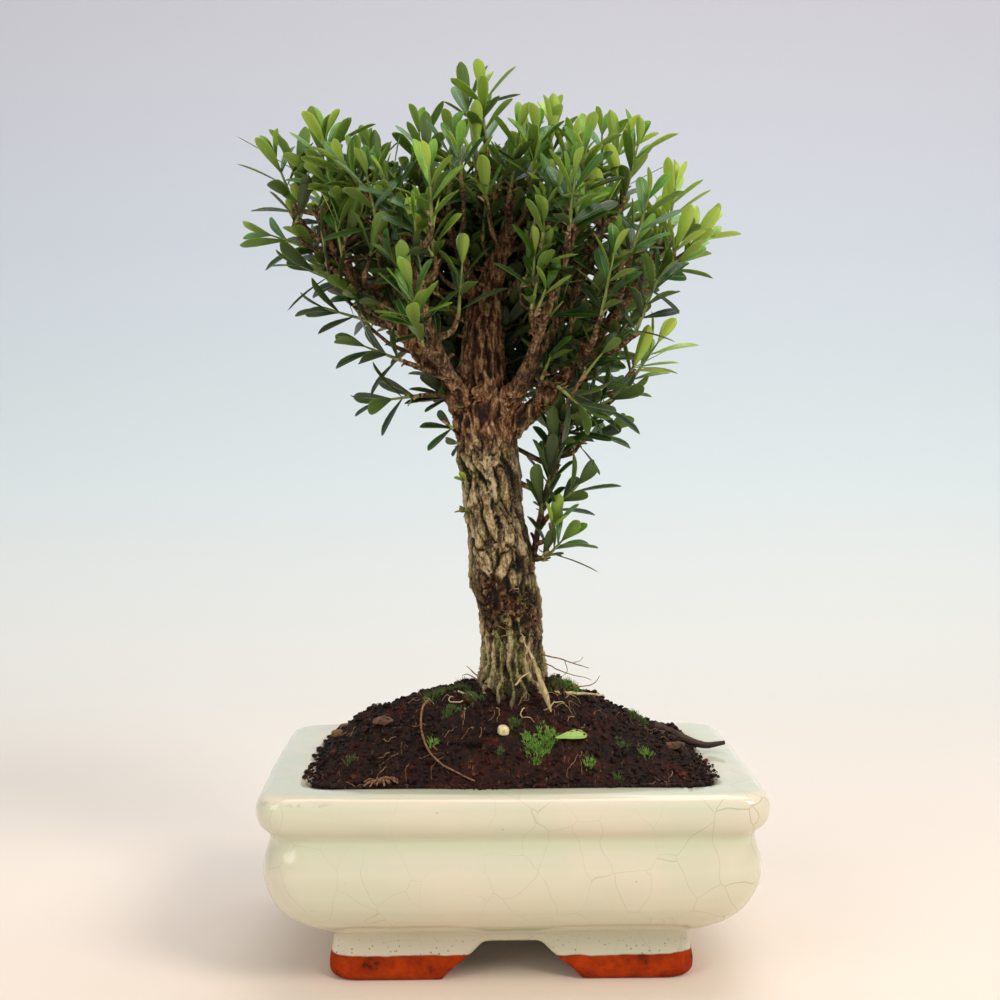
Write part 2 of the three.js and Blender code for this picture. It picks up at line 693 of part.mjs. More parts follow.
function fallenLeaf(x, y, soil) {
  const leaf = {
    root: new THREE.Vector3(x - 5, y - 1, soilHeight(x - 5, y - 1) + 1.6),
    direction: new THREE.Vector3(0, 0, 1),
    out: new THREE.Vector3(0.97, 0.25, 0),
    lean: 1.5,
    length: 11,
    width: 4.6,
    arch: 0.1,
    skew: 0.5,
  };
  return leafBlade(aimLeaf(leaf, 0, 0)).subtract(soil.translate([0, 0, GAP]));
}

const pot = makePot();
const soil = makeSoil();
const wood = makeWood();
place('pot', pot, GLAZE);
place('drain_screen_left', makeScreen(-DRAIN_X), SCREEN);
place('drain_screen_right', makeScreen(DRAIN_X), SCREEN);
place('soil', soil, PEAT);
place('trunk_and_branches', wood, BARK);
makeShoots(wood);
place('pebble', lump(-2.8, -25.5, [2.2, 1.8, 1.6], 0.4, soil), PEBBLE);
place('fallen_leaf', fallenLeaf(19, -27, soil), LEAF_MATERIALS.young);
place('bark_chip_left', lump(-41.8, -8, [3.4, 5.6, 1.3], -0.5, soil), DEAD_WOOD);
place('bark_chip_right', lump(53.5, -12, [5.2, 2.6, 1.4], 0.3, soil), DEAD_WOOD);
place('broken_root', stick([[13, -20, 1.1], [10.5, -17.5, 7.5], [7.6, -14.6, 14.5]], [1.1, 1.2, 0.6], soil), PALE_ROOT);
place('rim_twig', stick([[50, 6, 1.1], [59, 5, 1.3], [67, 3.2, 2.2], [74, 2, 3.4]], [1.6, 1.5, 1.2, 0.7], soil), DEAD_WOOD);
place('pellet_back', lump(-58, 30, [2.6, 2.2, 1.7], 0.6, soil), PELLET);
place('pellet_left', lump(-59, 6, [2.4, 2.0, 1.6], 0.2, soil), PELLET);

// Put the origin under the middle of the part's box, with the table at z = 0
const box = new THREE.Box3().setFromObject(bonsai);
bonsai.position.set(-(box.min.x + box.max.x) / 2, -(box.min.y + box.max.y) / 2, -box.min.z);
bonsai.updateMatrixWorld(true);

export default bonsai;
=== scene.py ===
"""Looks of a boxwood bonsai in a celadon pot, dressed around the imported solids.

Shapes are written in millimetres from the middle of the pot's foot, as a potter and a grower
would measure them, and each finished piece is then brought into the row frame in metres.
"""
import logging
import math
from dataclasses import dataclass, field
from enum import Enum
from functools import cache, partial

import bpy
import numpy as np
from mathutils import Matrix, Vector


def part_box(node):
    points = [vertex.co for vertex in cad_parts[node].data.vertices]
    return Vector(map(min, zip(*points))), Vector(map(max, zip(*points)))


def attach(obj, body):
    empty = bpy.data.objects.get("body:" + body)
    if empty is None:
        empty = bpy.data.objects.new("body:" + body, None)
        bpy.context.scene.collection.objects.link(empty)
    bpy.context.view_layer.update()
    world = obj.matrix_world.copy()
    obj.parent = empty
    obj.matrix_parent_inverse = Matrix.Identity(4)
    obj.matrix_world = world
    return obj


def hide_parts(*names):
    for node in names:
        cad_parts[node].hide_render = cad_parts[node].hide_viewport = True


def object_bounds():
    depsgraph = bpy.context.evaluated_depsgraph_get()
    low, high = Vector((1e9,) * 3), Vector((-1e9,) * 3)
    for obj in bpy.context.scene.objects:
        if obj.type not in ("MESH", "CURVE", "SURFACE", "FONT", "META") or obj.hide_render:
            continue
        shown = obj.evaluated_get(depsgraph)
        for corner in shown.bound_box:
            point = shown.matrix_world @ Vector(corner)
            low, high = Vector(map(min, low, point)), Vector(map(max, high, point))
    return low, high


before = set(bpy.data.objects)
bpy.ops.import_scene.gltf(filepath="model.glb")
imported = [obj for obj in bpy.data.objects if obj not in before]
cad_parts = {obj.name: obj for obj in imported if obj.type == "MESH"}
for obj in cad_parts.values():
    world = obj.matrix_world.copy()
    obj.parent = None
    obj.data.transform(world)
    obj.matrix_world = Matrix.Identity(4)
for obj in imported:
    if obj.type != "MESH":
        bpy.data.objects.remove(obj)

CAD_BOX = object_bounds()
LOG = logging.getLogger("bonsai")
MM = 0.001
SEED = 1207
BODY = "root"
# A Mix node of this type takes its share at input 0, its colours at 6 and 7, and gives output 2.
# A Map Range node takes its value at input 0, the span read at 1 and 2, the span given at 3 and 4.
MIX = {"data_type": "RGBA"}
TIMES = {"operation": "MULTIPLY"}
PLUS = {"operation": "ADD"}


def pot_middle() -> Vector:
    """Return the middle of the pot's foot on the table, in metres in the row frame."""
    low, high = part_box("pot")
    return Vector(((low.x + high.x) / 2, (low.y + high.y) / 2, low.z))


POT_MIDDLE = pot_middle()
# Where the photographer's lens is, in millimetres from the pot's middle
EYE = (-14.76, -485.98, 181.4)


class Slot(Enum):
    """The record's material slots."""

    GLAZE = "celadon_glaze"
    SCREEN = "screen_plastic"
    PEAT = "peat"
    BARK = "boxwood_bark"
    LEAF_YOUNG = "leaf_young"
    LEAF_MID = "leaf_mid"
    LEAF_OLD = "leaf_old"
    PEBBLE = "pebble"
    DEAD_WOOD = "dead_wood"
    PALE_ROOT = "pale_root"
    FEED = "fertiliser"


# Small shared tools


def linear(hex_colour: str) -> tuple[float, float, float, float]:
    """Turn an sRGB hex colour into the linear colour that shader sockets hold.

    Args:
        hex_colour: a colour such as "#a0b0c0".

    Returns:
        Red, green, blue and alpha, linear.
    """
    parts = [int(hex_colour[i:i + 2], 16) / 255 for i in (1, 3, 5)]
    flat = [p / 12.92 if p <= 0.04045 else ((p + 0.055) / 1.055) ** 2.4 for p in parts]
    return (flat[0], flat[1], flat[2], 1.0)


def take(piece: bpy.types.Object) -> None:
    """Leave edit mode, deselect everything and make one object the selected, active one."""
    active = bpy.context.view_layer.objects.active
    if active is not None and active.mode != "OBJECT":
        bpy.ops.object.mode_set(mode="OBJECT")
    bpy.ops.object.select_all(action="DESELECT")
    piece.select_set(True)
    bpy.context.view_layer.objects.active = piece


def start_fresh() -> None:
    """Deselect everything before a primitive is added."""
    bpy.ops.object.select_all(action="DESELECT")


def start_edit() -> None:
    """Enter edit mode with everything selected."""
    bpy.ops.object.mode_set(mode="EDIT")
    bpy.ops.mesh.select_all(action="SELECT")


def end_edit() -> None:
    """Turn every face outwards and leave edit mode."""
    bpy.ops.mesh.select_all(action="SELECT")
    bpy.ops.mesh.normals_make_consistent(inside=False)
    bpy.ops.object.mode_set(mode="OBJECT")


def apply_modifier(piece: bpy.types.Object, kind: str, **settings: object) -> None:
    """Add one modifier to a piece and apply it.

    Args:
        piece: the object to change.
        kind: the modifier's type, such as "REMESH".
        settings: values set on the modifier before it is applied.
    """
    take(piece)
    modifier = piece.modifiers.new(kind.lower(), kind)
    for name, value in settings.items():
        setattr(modifier, name, value)
    bpy.ops.object.modifier_apply(modifier=modifier.name)


def points_of(piece: bpy.types.Object) -> np.ndarray:
    """Return a mesh's vertices as an array of rows."""
    flat = np.empty(len(piece.data.vertices) * 3, np.float32)
    piece.data.vertices.foreach_get("co", flat)
    return flat.reshape(-1, 3).astype(np.float64)


def set_points(piece: bpy.types.Object, points: np.ndarray) -> None:
    """Write a mesh's vertices back from an array of rows."""
    piece.data.vertices.foreach_set("co", points.astype(np.float32).ravel())
    piece.data.update()


def normals_of(piece: bpy.types.Object) -> np.ndarray:
    """Return a mesh's vertex normals as an array of rows."""
    flat = np.empty(len(piece.data.vertices) * 3, np.float32)
    piece.data.vertex_normals.foreach_get("vector", flat)
    return flat.reshape(-1, 3).astype(np.float64)


def set_attribute(piece: bpy.types.Object, name: str, values: np.ndarray,
                  domain: str = "POINT") -> None:
    """Store one number at each vertex or face, for the piece's material to read."""
    layer = piece.data.attributes.new(name, "FLOAT", domain)
    layer.data.foreach_set("value", values.astype(np.float32))


def add_object(name: str, data: bpy.types.ID) -> bpy.types.Object:
    """Make an object of some data and link it into the scene."""
    item = bpy.data.objects.new(name, data)
    bpy.context.scene.collection.objects.link(item)
    return item


def mesh_object(name: str, points: np.ndarray, faces: list) -> bpy.types.Object:
    """Make an object from points and faces."""
    mesh = bpy.data.meshes.new(name)
    mesh.from_pydata(points.tolist(), [], faces)
    return add_object(name, mesh)


def pattern_of(model: bpy.types.Object) -> tuple[np.ndarray, list]:
    """Take the points and faces of a model that is only there to be copied, and remove it."""
    points, faces = points_of(model), [tuple(face.vertices) for face in model.data.polygons]
    bpy.data.objects.remove(model)
    return points, faces


def about_z(angle: float) -> np.ndarray:
    """Return the matrix that turns rows of x, y and z about the z axis."""
    c, s = math.cos(angle), math.sin(angle)
    return np.array([[c, s, 0], [-s, c, 0], [0, 0, 1]])


def join(pieces: list[bpy.types.Object]) -> bpy.types.Object:
    """Join objects into the first of them."""
    take(pieces[0])
    for piece in pieces[1:]:
        piece.select_set(True)
    bpy.ops.object.join()
    return bpy.context.object


def smooth(piece: bpy.types.Object, angle: float | None = None) -> None:
    """Shade a piece smooth, up to an angle in degrees where one is given."""
    take(piece)
    if angle is None:
        bpy.ops.object.shade_smooth()
    else:
        bpy.ops.object.shade_smooth_by_angle(angle=math.radians(angle))


def finish_piece(piece: bpy.types.Object, name: str,
                 kinds: list[object], nodes: tuple[str, ...] = ()) -> None:
    """Bring a piece from millimetres into the row frame, dress it and let it ride.

    Args:
        piece: the object, with its shape in millimetres from the pot's middle.
        name: its final name.
        kinds: its finishes, in the order of its faces' indices.
        nodes: the solids that it stands for.
    """
    take(piece)
    bpy.ops.object.transform_apply(location=True, rotation=True, scale=True)
    piece.data.transform(Matrix.Translation(POT_MIDDLE) @ Matrix.Scale(MM, 4))
    piece.name = name
    piece.data.name = name
    for kind in kinds:
        piece.data.materials.append(finish(kind))
    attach(piece, BODY)
    if nodes:
        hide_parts(*nodes)
    LOG.info("%s: %d faces", name, len(piece.data.polygons))


def draw(shoot: int, leaf: int, use: int) -> float:
    """Return a number from 0 to 1 fixed by the shoot, the leaf and the use it is drawn for."""
    mask = 0xFFFFFFFF
    h = ((shoot + SEED) * 374761393) & mask
    h ^= ((leaf + 17) * 668265263) & mask
    h ^= ((use + 5) * 1274126177) & mask
    h = ((h ^ (h >> 15)) * 2246822519) & mask
    h = ((h ^ (h >> 13)) * 3266489917) & mask
    return (h ^ (h >> 16)) / 4294967296


def draws(shoot: int, leaf: int, count: int) -> list[float]:
    """Return the numbers drawn for a shoot's leaf, one for each use."""
    return [draw(shoot, leaf, use) for use in range(count)]


def scatter_number(cells: np.ndarray, seed: int) -> np.ndarray:
    """Return a fixed random number from 0 to 1 for each row of three whole numbers."""
    mask = np.uint64(0xFFFFFFFF)
    rows = cells.astype(np.int64).astype(np.uint64) & mask
    h = np.full(len(rows), (seed * 1274126177) & 0xFFFFFFFF, np.uint64)
    for axis, factor in enumerate((374761393, 668265263, 2147483647)):
        h ^= (rows[:, axis] * np.uint64(factor)) & mask
        h = ((h ^ (h >> np.uint64(15))) * np.uint64(2246822519)) & mask
    h = ((h ^ (h >> np.uint64(13))) * np.uint64(3266489917)) & mask
    return (h ^ (h >> np.uint64(16))).astype(np.float64) / 4294967296


def noise(points: np.ndarray, size: float | tuple, seed: int, octaves: int = 1) -> np.ndarray:
    """Smooth noise from -1 to 1 at each point.

    Args:
        points: rows of x, y, z.
        size: the width of a hump, or one width for each axis.
        seed: which noise it is.
        octaves: how many layers, each half as wide and half as strong.

    Returns:
        One value for each point.
    """
    total = np.zeros(len(points))
    strength, reach = 1.0, 0.0
    scaled = points / np.asarray(size, float)
    for octave in range(octaves):
        base = np.floor(scaled)
        part = scaled - base
        ease = part * part * (3 - 2 * part)
        value = np.zeros(len(points))
        for corner in np.ndindex(2, 2, 2):
            weight = np.prod(np.where(corner, ease, 1 - ease), axis=1)
            value += weight * scatter_number(base + corner, seed + 31 * octave)
        total += strength * (2 * value - 1)
        reach += strength
        strength *= 0.5
        scaled = scaled * 2 + 17.3
    return total / reach


def noises(points: np.ndarray, size: float | tuple, seed: int, octaves: int = 1) -> np.ndarray:
    """Return rows of three noises, of this seed and of the next two."""
    return np.column_stack([noise(points, size, seed + i, octaves) for i in range(3)])


def outward(angle: float, up: float = 0.0) -> np.ndarray:
    """Return the way that leaves the z axis at an angle in radians, with some climb."""
    return np.array([math.cos(angle), math.sin(angle), up])


def rise(low: float, high: float, values: np.ndarray) -> np.ndarray:
    """Rise smoothly from 0 at low to 1 at high."""
    t = np.clip((values - low) / (high - low), 0, 1)
    return t * t * (3 - 2 * t)


# Materials


def add_node(tree: bpy.types.NodeTree, kind: str, settings: dict | None = None,
             inputs: dict | None = None, out: int | str = 0,
             stops: list[tuple[float, str]] | None = None) -> bpy.types.NodeSocket | None:
    """Add one shader node with its settings, values and links.

    Args:
        tree: the material's node tree.
        kind: the node's type, without the word ShaderNode that all start with.
        settings: properties set on the node.
        inputs: values, sRGB hex colours or sockets, by input name or index.
        out: the output that is wanted, by name or index.
        stops: places and sRGB hex colours, where the node is a colour ramp.

    Returns:
        The wanted output, or None where the node has none.
    """
    node = tree.nodes.new("ShaderNode" + kind)
    for name, value in (settings or {}).items():
        setattr(node, name, value)
    for key, value in (inputs or {}).items():
        if isinstance(value, bpy.types.NodeSocket):
            tree.links.new(value, node.inputs[key])
        else:
            node.inputs[key].default_value = linear(value) if isinstance(value, str) else value
    if stops:
        elements = node.color_ramp.elements
        elements[0].position, elements[1].position = stops[0][0], stops[-1][0]
        elements[0].color, elements[1].color = linear(stops[0][1]), linear(stops[-1][1])
        for place, colour in stops[1:-1]:
            elements.new(place).color = linear(colour)
    return node.outputs[out] if len(node.outputs) else None


def new_material(name: str) -> tuple[bpy.types.Material, partial]:
    """Return an empty node material and the function that adds nodes to it."""
    material = bpy.data.materials.new(name)
    material.use_nodes = True
    material.node_tree.nodes.clear()
    return material, partial(add_node, material.node_tree)


@dataclass(frozen=True)
class CeladonGlaze:
    """Celadon glaze over red stoneware, dipped down to a line on the foot.

    The glaze is a soft glossy glass: pale green-cream, greener where it pools, warmer and thinner
    on edges, with a sparse crackle and pinholes. Below its wavy edge the bare clay is matt and red.
    The scar is a line of burst blisters on the lip, and the crackle is stained from one x to the
    other.
    """

    glaze_line_mm: float = 8.2
    crackle_mm: float = 13.0
    scar_middle_mm: tuple = (-57, -52.7, 62.6)
    scar_half_mm: tuple = (17, 5, 1.7)
    stain_mm: tuple = (40, 84)
    ior: float = 1.5

    def scar(self, node: partial, place: bpy.types.NodeSocket) -> bpy.types.NodeSocket:
        """Return the share of burst blisters in a line along the lip, left of the middle."""
        spot = node("Mapping", None, {
            0: place, "Scale": [1 / (half * MM) for half in self.scar_half_mm],
            "Location": [-m / half for m, half in zip(self.scar_middle_mm, self.scar_half_mm)]})
        spot = node("VectorMath", {"operation": "LENGTH"}, {0: spot}, "Value")
        spot = node("MapRange", None, {0: spot, 1: 0.7, 2: 1.0, 3: 1.0, 4: 0.0})
        burst = node("TexNoise", None, {"Vector": place, "Scale": 520, "Detail": 3})
        burst = node("MapRange", None, {0: burst, 1: 0.5, 2: 0.56, 3: 0.0, 4: 0.75})
        return node("Math", TIMES, {0: spot, 1: burst})

    def crackle(self, node: partial, place: bpy.types.NodeSocket) -> bpy.types.NodeSocket:
        """Return the share of hairlines, higher than they are wide and stained on the right."""
        waver = node("TexNoise", None, {"Vector": place, "Scale": 80, "Detail": 1}, 1)
        waver = node("VectorMath", {"operation": "MULTIPLY_ADD"}, {
            0: waver, 1: (0.006, 0.006, 0.006), 2: place})
        tall = node("Mapping", None, {0: waver, "Scale": (1, 1, 0.65)})
        net = node("TexVoronoi", {"feature": "DISTANCE_TO_EDGE"}, {
            "Vector": tall, "Scale": 1 / (self.crackle_mm * MM)})
        line = node("MapRange", None, {0: net, 1: 0.002, 2: 0.0075, 3: 1.0, 4: 0.0})
        fade = node("TexNoise", None, {"Vector": place, "Scale": 22, "Detail": 1})
        fade = node("MapRange", None, {0: fade, 1: 0.42, 2: 0.58})
        crack = node("Math", TIMES, {0: line, 1: fade})
        across = node("SeparateXYZ", None, {0: place}, "X")
        clean, stained = self.stain_mm
        stain = node("MapRange", None, {
            0: across, 1: clean * MM, 2: stained * MM, 3: 0.24, 4: 0.55})
        return node("Math", TIMES, {0: crack, 1: stain})

    def pinholes(self, node: partial, place: bpy.types.NodeSocket) -> bpy.types.NodeSocket:
        """Return the share of dark dots, which are under half a millimetre wide."""
        dots = node("TexVoronoi", None, {"Vector": place, "Scale": 230})
        dots = node("MapRange", None, {0: dots, 1: 0.035, 2: 0.06, 3: 1.0, 4: 0.0})
        few = node("TexNoise", None, {"Vector": place, "Scale": 110, "Detail": 1})
        few = node("MapRange", None, {0: few, 1: 0.5, 2: 0.58, 3: 0.0, 4: 0.75})
        return node("Math", TIMES, {0: dots, 1: few})

    def material(self) -> bpy.types.Material:
        """Build the material."""
        material, node = new_material("celadon_glaze_on_red_stoneware")
        place = node("TexCoord", out="Object")
        height = node("SeparateXYZ", None, {0: place}, "Z")
        pool = node("Attribute", {"attribute_name": "pool"}, out="Fac")
        edge = node("Attribute", {"attribute_name": "edge"}, out="Fac")
        cloud = node("TexNoise", None, {"Vector": place, "Scale": 30, "Detail": 2})
        cloud = node("MapRange", None, {0: cloud, 1: 0.38, 2: 0.64})
        colour = node("Mix", MIX, {0: cloud, 6: "#dbd4bf", 7: "#d2d3bb"}, 2)
        # The foot: more pinholes near the glaze's lower edge, then bare clay below the line
        wave = node("TexNoise", None, {"Vector": place, "Scale": 70, "Detail": 2})
        wave = node("MapRange", None, {0: wave, 3: -1.6 * MM, 4: 1.6 * MM})
        level = node("Math", PLUS, {0: height, 1: wave})
        line_at = self.glaze_line_mm * MM
        near = node("MapRange", None, {0: level, 1: line_at, 2: line_at + 8 * MM, 3: 1.0, 4: 0.0})
        grit = node("TexVoronoi", None, {"Vector": place, "Scale": 620})
        grit = node("MapRange", None, {0: grit, 1: 0.14, 2: 0.22, 3: 0.9, 4: 0.0})
        grit = node("Math", TIMES, {0: grit, 1: near})
        grain = node("TexNoise", None, {
            "Vector": place, "Scale": 180, "Detail": 6, "Roughness": 0.65})
        clay = node("ValToRGB", None, {0: grain}, stops=[
            (0.30, "#45190a"), (0.40, "#8c2b08"), (0.66, "#b33d07")])
        bare = node("MapRange", None, {
            0: level, 1: line_at - 0.2 * MM, 2: line_at + 0.2 * MM, 3: 1.0, 4: 0.0})
        # Each layer covers the ones before it by its share
        for share, over in (
                (pool, "#c5cdb0"), (edge, "#e3d3bd"), (self.scar(node, place), "#8f8390"),
                (self.crackle(node, place), "#8d7a5c"), (self.pinholes(node, place), "#5c4a38"),
                (grit, "#6b6150"), (bare, clay)):
            colour = node("Mix", MIX, {0: share, 6: colour, 7: over}, 2)
        rough = node("MapRange", None, {0: bare, 3: 0.13, 4: 0.9})
        gloss = node("MapRange", None, {0: bare, 3: 0.25, 4: 0.0})
        shine = node("MapRange", None, {0: bare, 3: 0.5, 4: 0.15})
        # Relief: the glaze swells over 20 mm, the bare clay is sandy
        swell = node("TexNoise", None, {"Vector": place, "Scale": 55, "Detail": 1})
        relief = node("Bump", None, {"Height": swell, "Distance": 0.5 * MM})
        sand = node("Math", TIMES, {0: grain, 1: bare})
        relief = node("Bump", None, {"Height": sand, "Distance": 0.6 * MM, "Normal": relief})
        surface = node("BsdfPrincipled", None, {
            "Base Color": colour, "Roughness": rough, "Normal": relief, "IOR": self.ior,
            "Specular IOR Level": shine, "Coat Weight": gloss, "Coat Roughness": 0.05})
        node("OutputMaterial", None, {0: surface})
        return material


@dataclass(frozen=True)
class MoistPeat:
    """Moist peat: nearly black in its hollows, red-brown on its crumbs, crossed by fibres."""

    crumb_mm: float = 2.2

    def material(self) -> bpy.types.Material:
        """Build the material."""
        material, node = new_material("moist_peat")
        place = node("TexCoord", out="Object")
        tone = node("TexNoise", None, {
            "Vector": place, "Scale": 1 / (self.crumb_mm * MM), "Detail": 6, "Roughness": 0.72})
        colour = node("ValToRGB", None, {0: tone}, stops=[
            (0.30, "#070403"), (0.48, "#1c0e09"), (0.64, "#3a1e14"), (0.80, "#6f4229")])
        lump = node("Attribute", {"attribute_name": "lump"}, out="Fac")
        tone = node("Math", PLUS, {0: tone, 1: lump})
        patch = node("TexNoise", None, {"Vector": place, "Scale": 60, "Detail": 2})
        patch = node("MapRange", None, {0: patch, 1: 0.48, 2: 0.64, 3: 0.0, 4: 0.6})
        reddish = node("ValToRGB", None, {0: tone}, stops=[
            (0.30, "#0e0503"), (0.48, "#32120a"), (0.64, "#5a2516"), (0.80, "#8a4a2e")])
        threads = node("Mapping", None, {0: place, "Scale": (900, 180, 300)})
        threads = node("TexNoise", None, {
            "Vector": threads, "Scale": 1, "Detail": 3, "Distortion": 1.6})
        threads = node("MapRange", None, {0: threads, 1: 0.64, 2: 0.7, 3: 0.0, 4: 0.55})
        for share, over in ((patch, reddish), (threads, "#8a6144")):
            colour = node("Mix", MIX, {0: share, 6: colour, 7: over}, 2)
        wet = node("MapRange", None, {0: tone, 1: 0.35, 2: 0.7, 3: 0.6, 4: 0.95})
        fine = node("TexNoise", None, {"Vector": place, "Scale": 1100, "Detail": 6})
        relief = node("Bump", None, {"Height": fine, "Distance": 1.2 * MM})
        surface = node("BsdfPrincipled", None, {
            "Base Color": colour, "Roughness": wet, "Normal": relief, "Specular IOR Level": 0.25})
        node("OutputMaterial", None, {0: surface})
        return material


@dataclass(frozen=True)
class CorkyBark:
    """Old boxwood bark: tan corky ridges over dark fissures, algae in places. Its colour follows
    the relief, so the dark fissures are partly painted shade and the pale ridge tops partly painted
    highlight.

    Where the wood is younger it is red-brown and fibrous, and near the soil it is dark and damp.
    """

    strand_mm: float = 0.8

    def material(self) -> bpy.types.Material:
        """Build the material."""
        material, node = new_material("corky_boxwood_bark")
        place = node("TexCoord", out="Object")
        ridge, shade, mossy, fibrous, damp = (
            node("Attribute", {"attribute_name": name}, out="Fac")
            for name in ("ridge", "shade", "mossy", "fibrous", "damp"))
        fine = 1 / (self.strand_mm * MM)
        strand = node("Mapping", None, {0: place, "Scale": (fine, fine, fine / 6)})
        strand = node("TexNoise", None, {
            "Vector": strand, "Scale": 1, "Detail": 5, "Roughness": 0.7})
        grit = node("TexNoise", None, {
            "Vector": place, "Scale": 1 / (0.9 * MM), "Detail": 5, "Roughness": 0.7})
        both = node("Math", PLUS, {0: strand, 1: grit})
        shift = node("MapRange", None, {0: both, 1: 0.7, 2: 1.3, 3: -0.42, 4: 0.36})
        level = node("Math", PLUS, {0: ridge, 1: shift})
        # Ramps from fissure to ridge top: partly the bark's own dark inner layer and pale weathered
        # plates, partly painted shade and painted highlight
        tan = node("ValToRGB", None, {0: level}, stops=[
            (0.05, "#0e0905"), (0.34, "#3d301c"), (0.62, "#826b45"), (0.95, "#cfb88c")])
        grey = node("ValToRGB", None, {0: level}, stops=[
            (0.05, "#0f0b07"), (0.34, "#3d3124"), (0.62, "#7a6a4e"), (0.95, "#c6b290")])
        red = node("ValToRGB", None, {0: level}, stops=[
            (0.05, "#1a0e08"), (0.32, "#4d2d19"), (0.60, "#855f3d"), (0.95, "#cbac82")])
        algae = node("ValToRGB", None, {0: level}, stops=[
            (0.05, "#161a0a"), (0.4, "#4b521c"), (0.7, "#878a48"), (0.98, "#bdb986")])
        patchy = node("MapRange", None, {0: grit, 1: 0.42, 2: 0.56, 3: 0.0, 4: 0.85})
        green = node("Math", TIMES, {0: mossy, 1: patchy})
        colour = tan
        for share, over in ((shade, grey), (fibrous, red), (green, algae), (damp, "#26170f")):
            colour = node("Mix", MIX, {0: share, 6: colour, 7: over}, 2)
        relief = node("Bump", None, {"Height": both, "Distance": 0.6 * MM})
        surface = node("BsdfPrincipled", None, {
            "Base Color": colour, "Roughness": 0.8, "Normal": relief, "Specular IOR Level": 0.35})
        node("OutputMaterial", None, {0: surface})
        return material


@dataclass(frozen=True)
class WaxyLeaf:
    """Boxwood leaf: leathery and waxy above, paler and matt below, with a light midrib.

    Tone 0 is a dark leaf of an earlier year and 1 a yellow-green one of this spring. In parts of
    the crown the tone is also raised as painted light and lowered as painted shade, and its palest
    stops carry a painted sheen.
    """

    ior: float = 1.5

    def material(self) -> bpy.types.Material:
        """Build the material."""
        material, node = new_material("waxy_boxwood_leaf")
        place = node("TexCoord", out="Object")
        tone = node("Attribute", {"attribute_name": "tone"}, out="Fac")
        under = node("Attribute", {"attribute_name": "under"}, out="Fac")
        blade = node("UVMap", {"uv_map": "leaf"})
        run = node("SeparateXYZ", None, {0: blade}, "X")
        side = node("SeparateXYZ", None, {0: blade}, "Y")
        side = node("Math", {"operation": "ABSOLUTE"}, {0: side})
        # Upper side from dark old leaves to yellow-green young ones; the two palest stops are
        # whitened as a painted sheen of the top light
        top = node("ValToRGB", None, {0: tone}, stops=[
            (0.0, "#10230d"), (0.25, "#1c4012"), (0.5, "#3a7019"), (0.75, "#77ac2c"),
            (1.0, "#c0db5c")])
        below = node("ValToRGB", None, {0: tone}, stops=[
            (0.0, "#2e3c1e"), (0.5, "#5f7e2c"), (1.0, "#b8d254")])
        mottle = node("TexNoise", None, {"Vector": place, "Scale": 330, "Detail": 3})
        mottle = node("MapRange", None, {0: mottle, 1: 0.35, 2: 0.65, 3: 0.0, 4: 0.3})
        rib = node("MapRange", None, {0: side, 1: 0.02, 2: 0.12, 3: 0.32, 4: 0.0})
        margin = node("MapRange", None, {0: side, 1: 0.9, 2: 1.0, 3: 0.0, 4: 0.4})
        colour = top
        for share, over in ((mottle, "#2a4a18"), (rib, "#a9c468"), (margin, "#9fbb66"),
                            (under, below)):
            colour = node("Mix", MIX, {0: share, 6: colour, 7: over}, 2)
        # Side veins leave the midrib forwards, about 1.4 mm apart
        slant = node("Math", TIMES, {0: side, 1: -0.35})
        slant = node("Math", PLUS, {0: run, 1: slant})
        slant = node("Math", TIMES, {0: slant, 1: 62.0})
        vein = node("Math", {"operation": "SINE"}, {0: slant})
        relief = node("Bump", None, {"Height": vein, "Distance": 0.025 * MM})
        relief = node("Bump", None, {"Height": rib, "Distance": 0.2 * MM, "Normal": relief})
        rough = node("MapRange", None, {0: under, 3: 0.3, 4: 0.5})
        surface = node("BsdfPrincipled", None, {
            "Base Color": colour, "Roughness": rough, "Normal": relief, "IOR": self.ior,
            "Subsurface Weight": 0.25, "Subsurface Radius": (0.8, 1.0, 0.3),
            "Subsurface Scale": 0.8 * MM})
        node("OutputMaterial", None, {0: surface})
        return material


@dataclass(frozen=True)
class NaturalFinish:
    """A rough natural finish of two colours in a fine grain."""

    name: str
    dark: str
    light: str
    grain_mm: float
    roughness: float
    stretch: tuple[float, float, float] = (1, 1, 1)
    depth_mm: float = 0.25

    def material(self) -> bpy.types.Material:
        """Build the material."""
        material, node = new_material(self.name)
        place = node("TexCoord", out="Object")
        scale = [1 / (self.grain_mm * MM * s) for s in self.stretch]
        grain = node("Mapping", None, {0: place, "Scale": scale})
        grain = node("TexNoise", None, {
            "Vector": grain, "Scale": 1, "Detail": 5, "Roughness": 0.62})
        colour = node("ValToRGB", None, {0: grain}, stops=[(0.32, self.dark), (0.66, self.light)])
        relief = node("Bump", None, {"Height": grain, "Distance": self.depth_mm * MM})
        surface = node("BsdfPrincipled", None, {
            "Base Color": colour, "Roughness": self.roughness, "Normal": relief})
        node("OutputMaterial", None, {0: surface})
        return material


# Moss reads as matt velvet, bright where it is young and brown-green where it is old
FRESH_MOSS = NaturalFinish("fresh_cushion_moss", "#38591a", "#86b546", 1.2, 0.8)
OLD_MOSS = NaturalFinish("old_cushion_moss", "#26361a", "#5d7530", 1.2, 0.85)
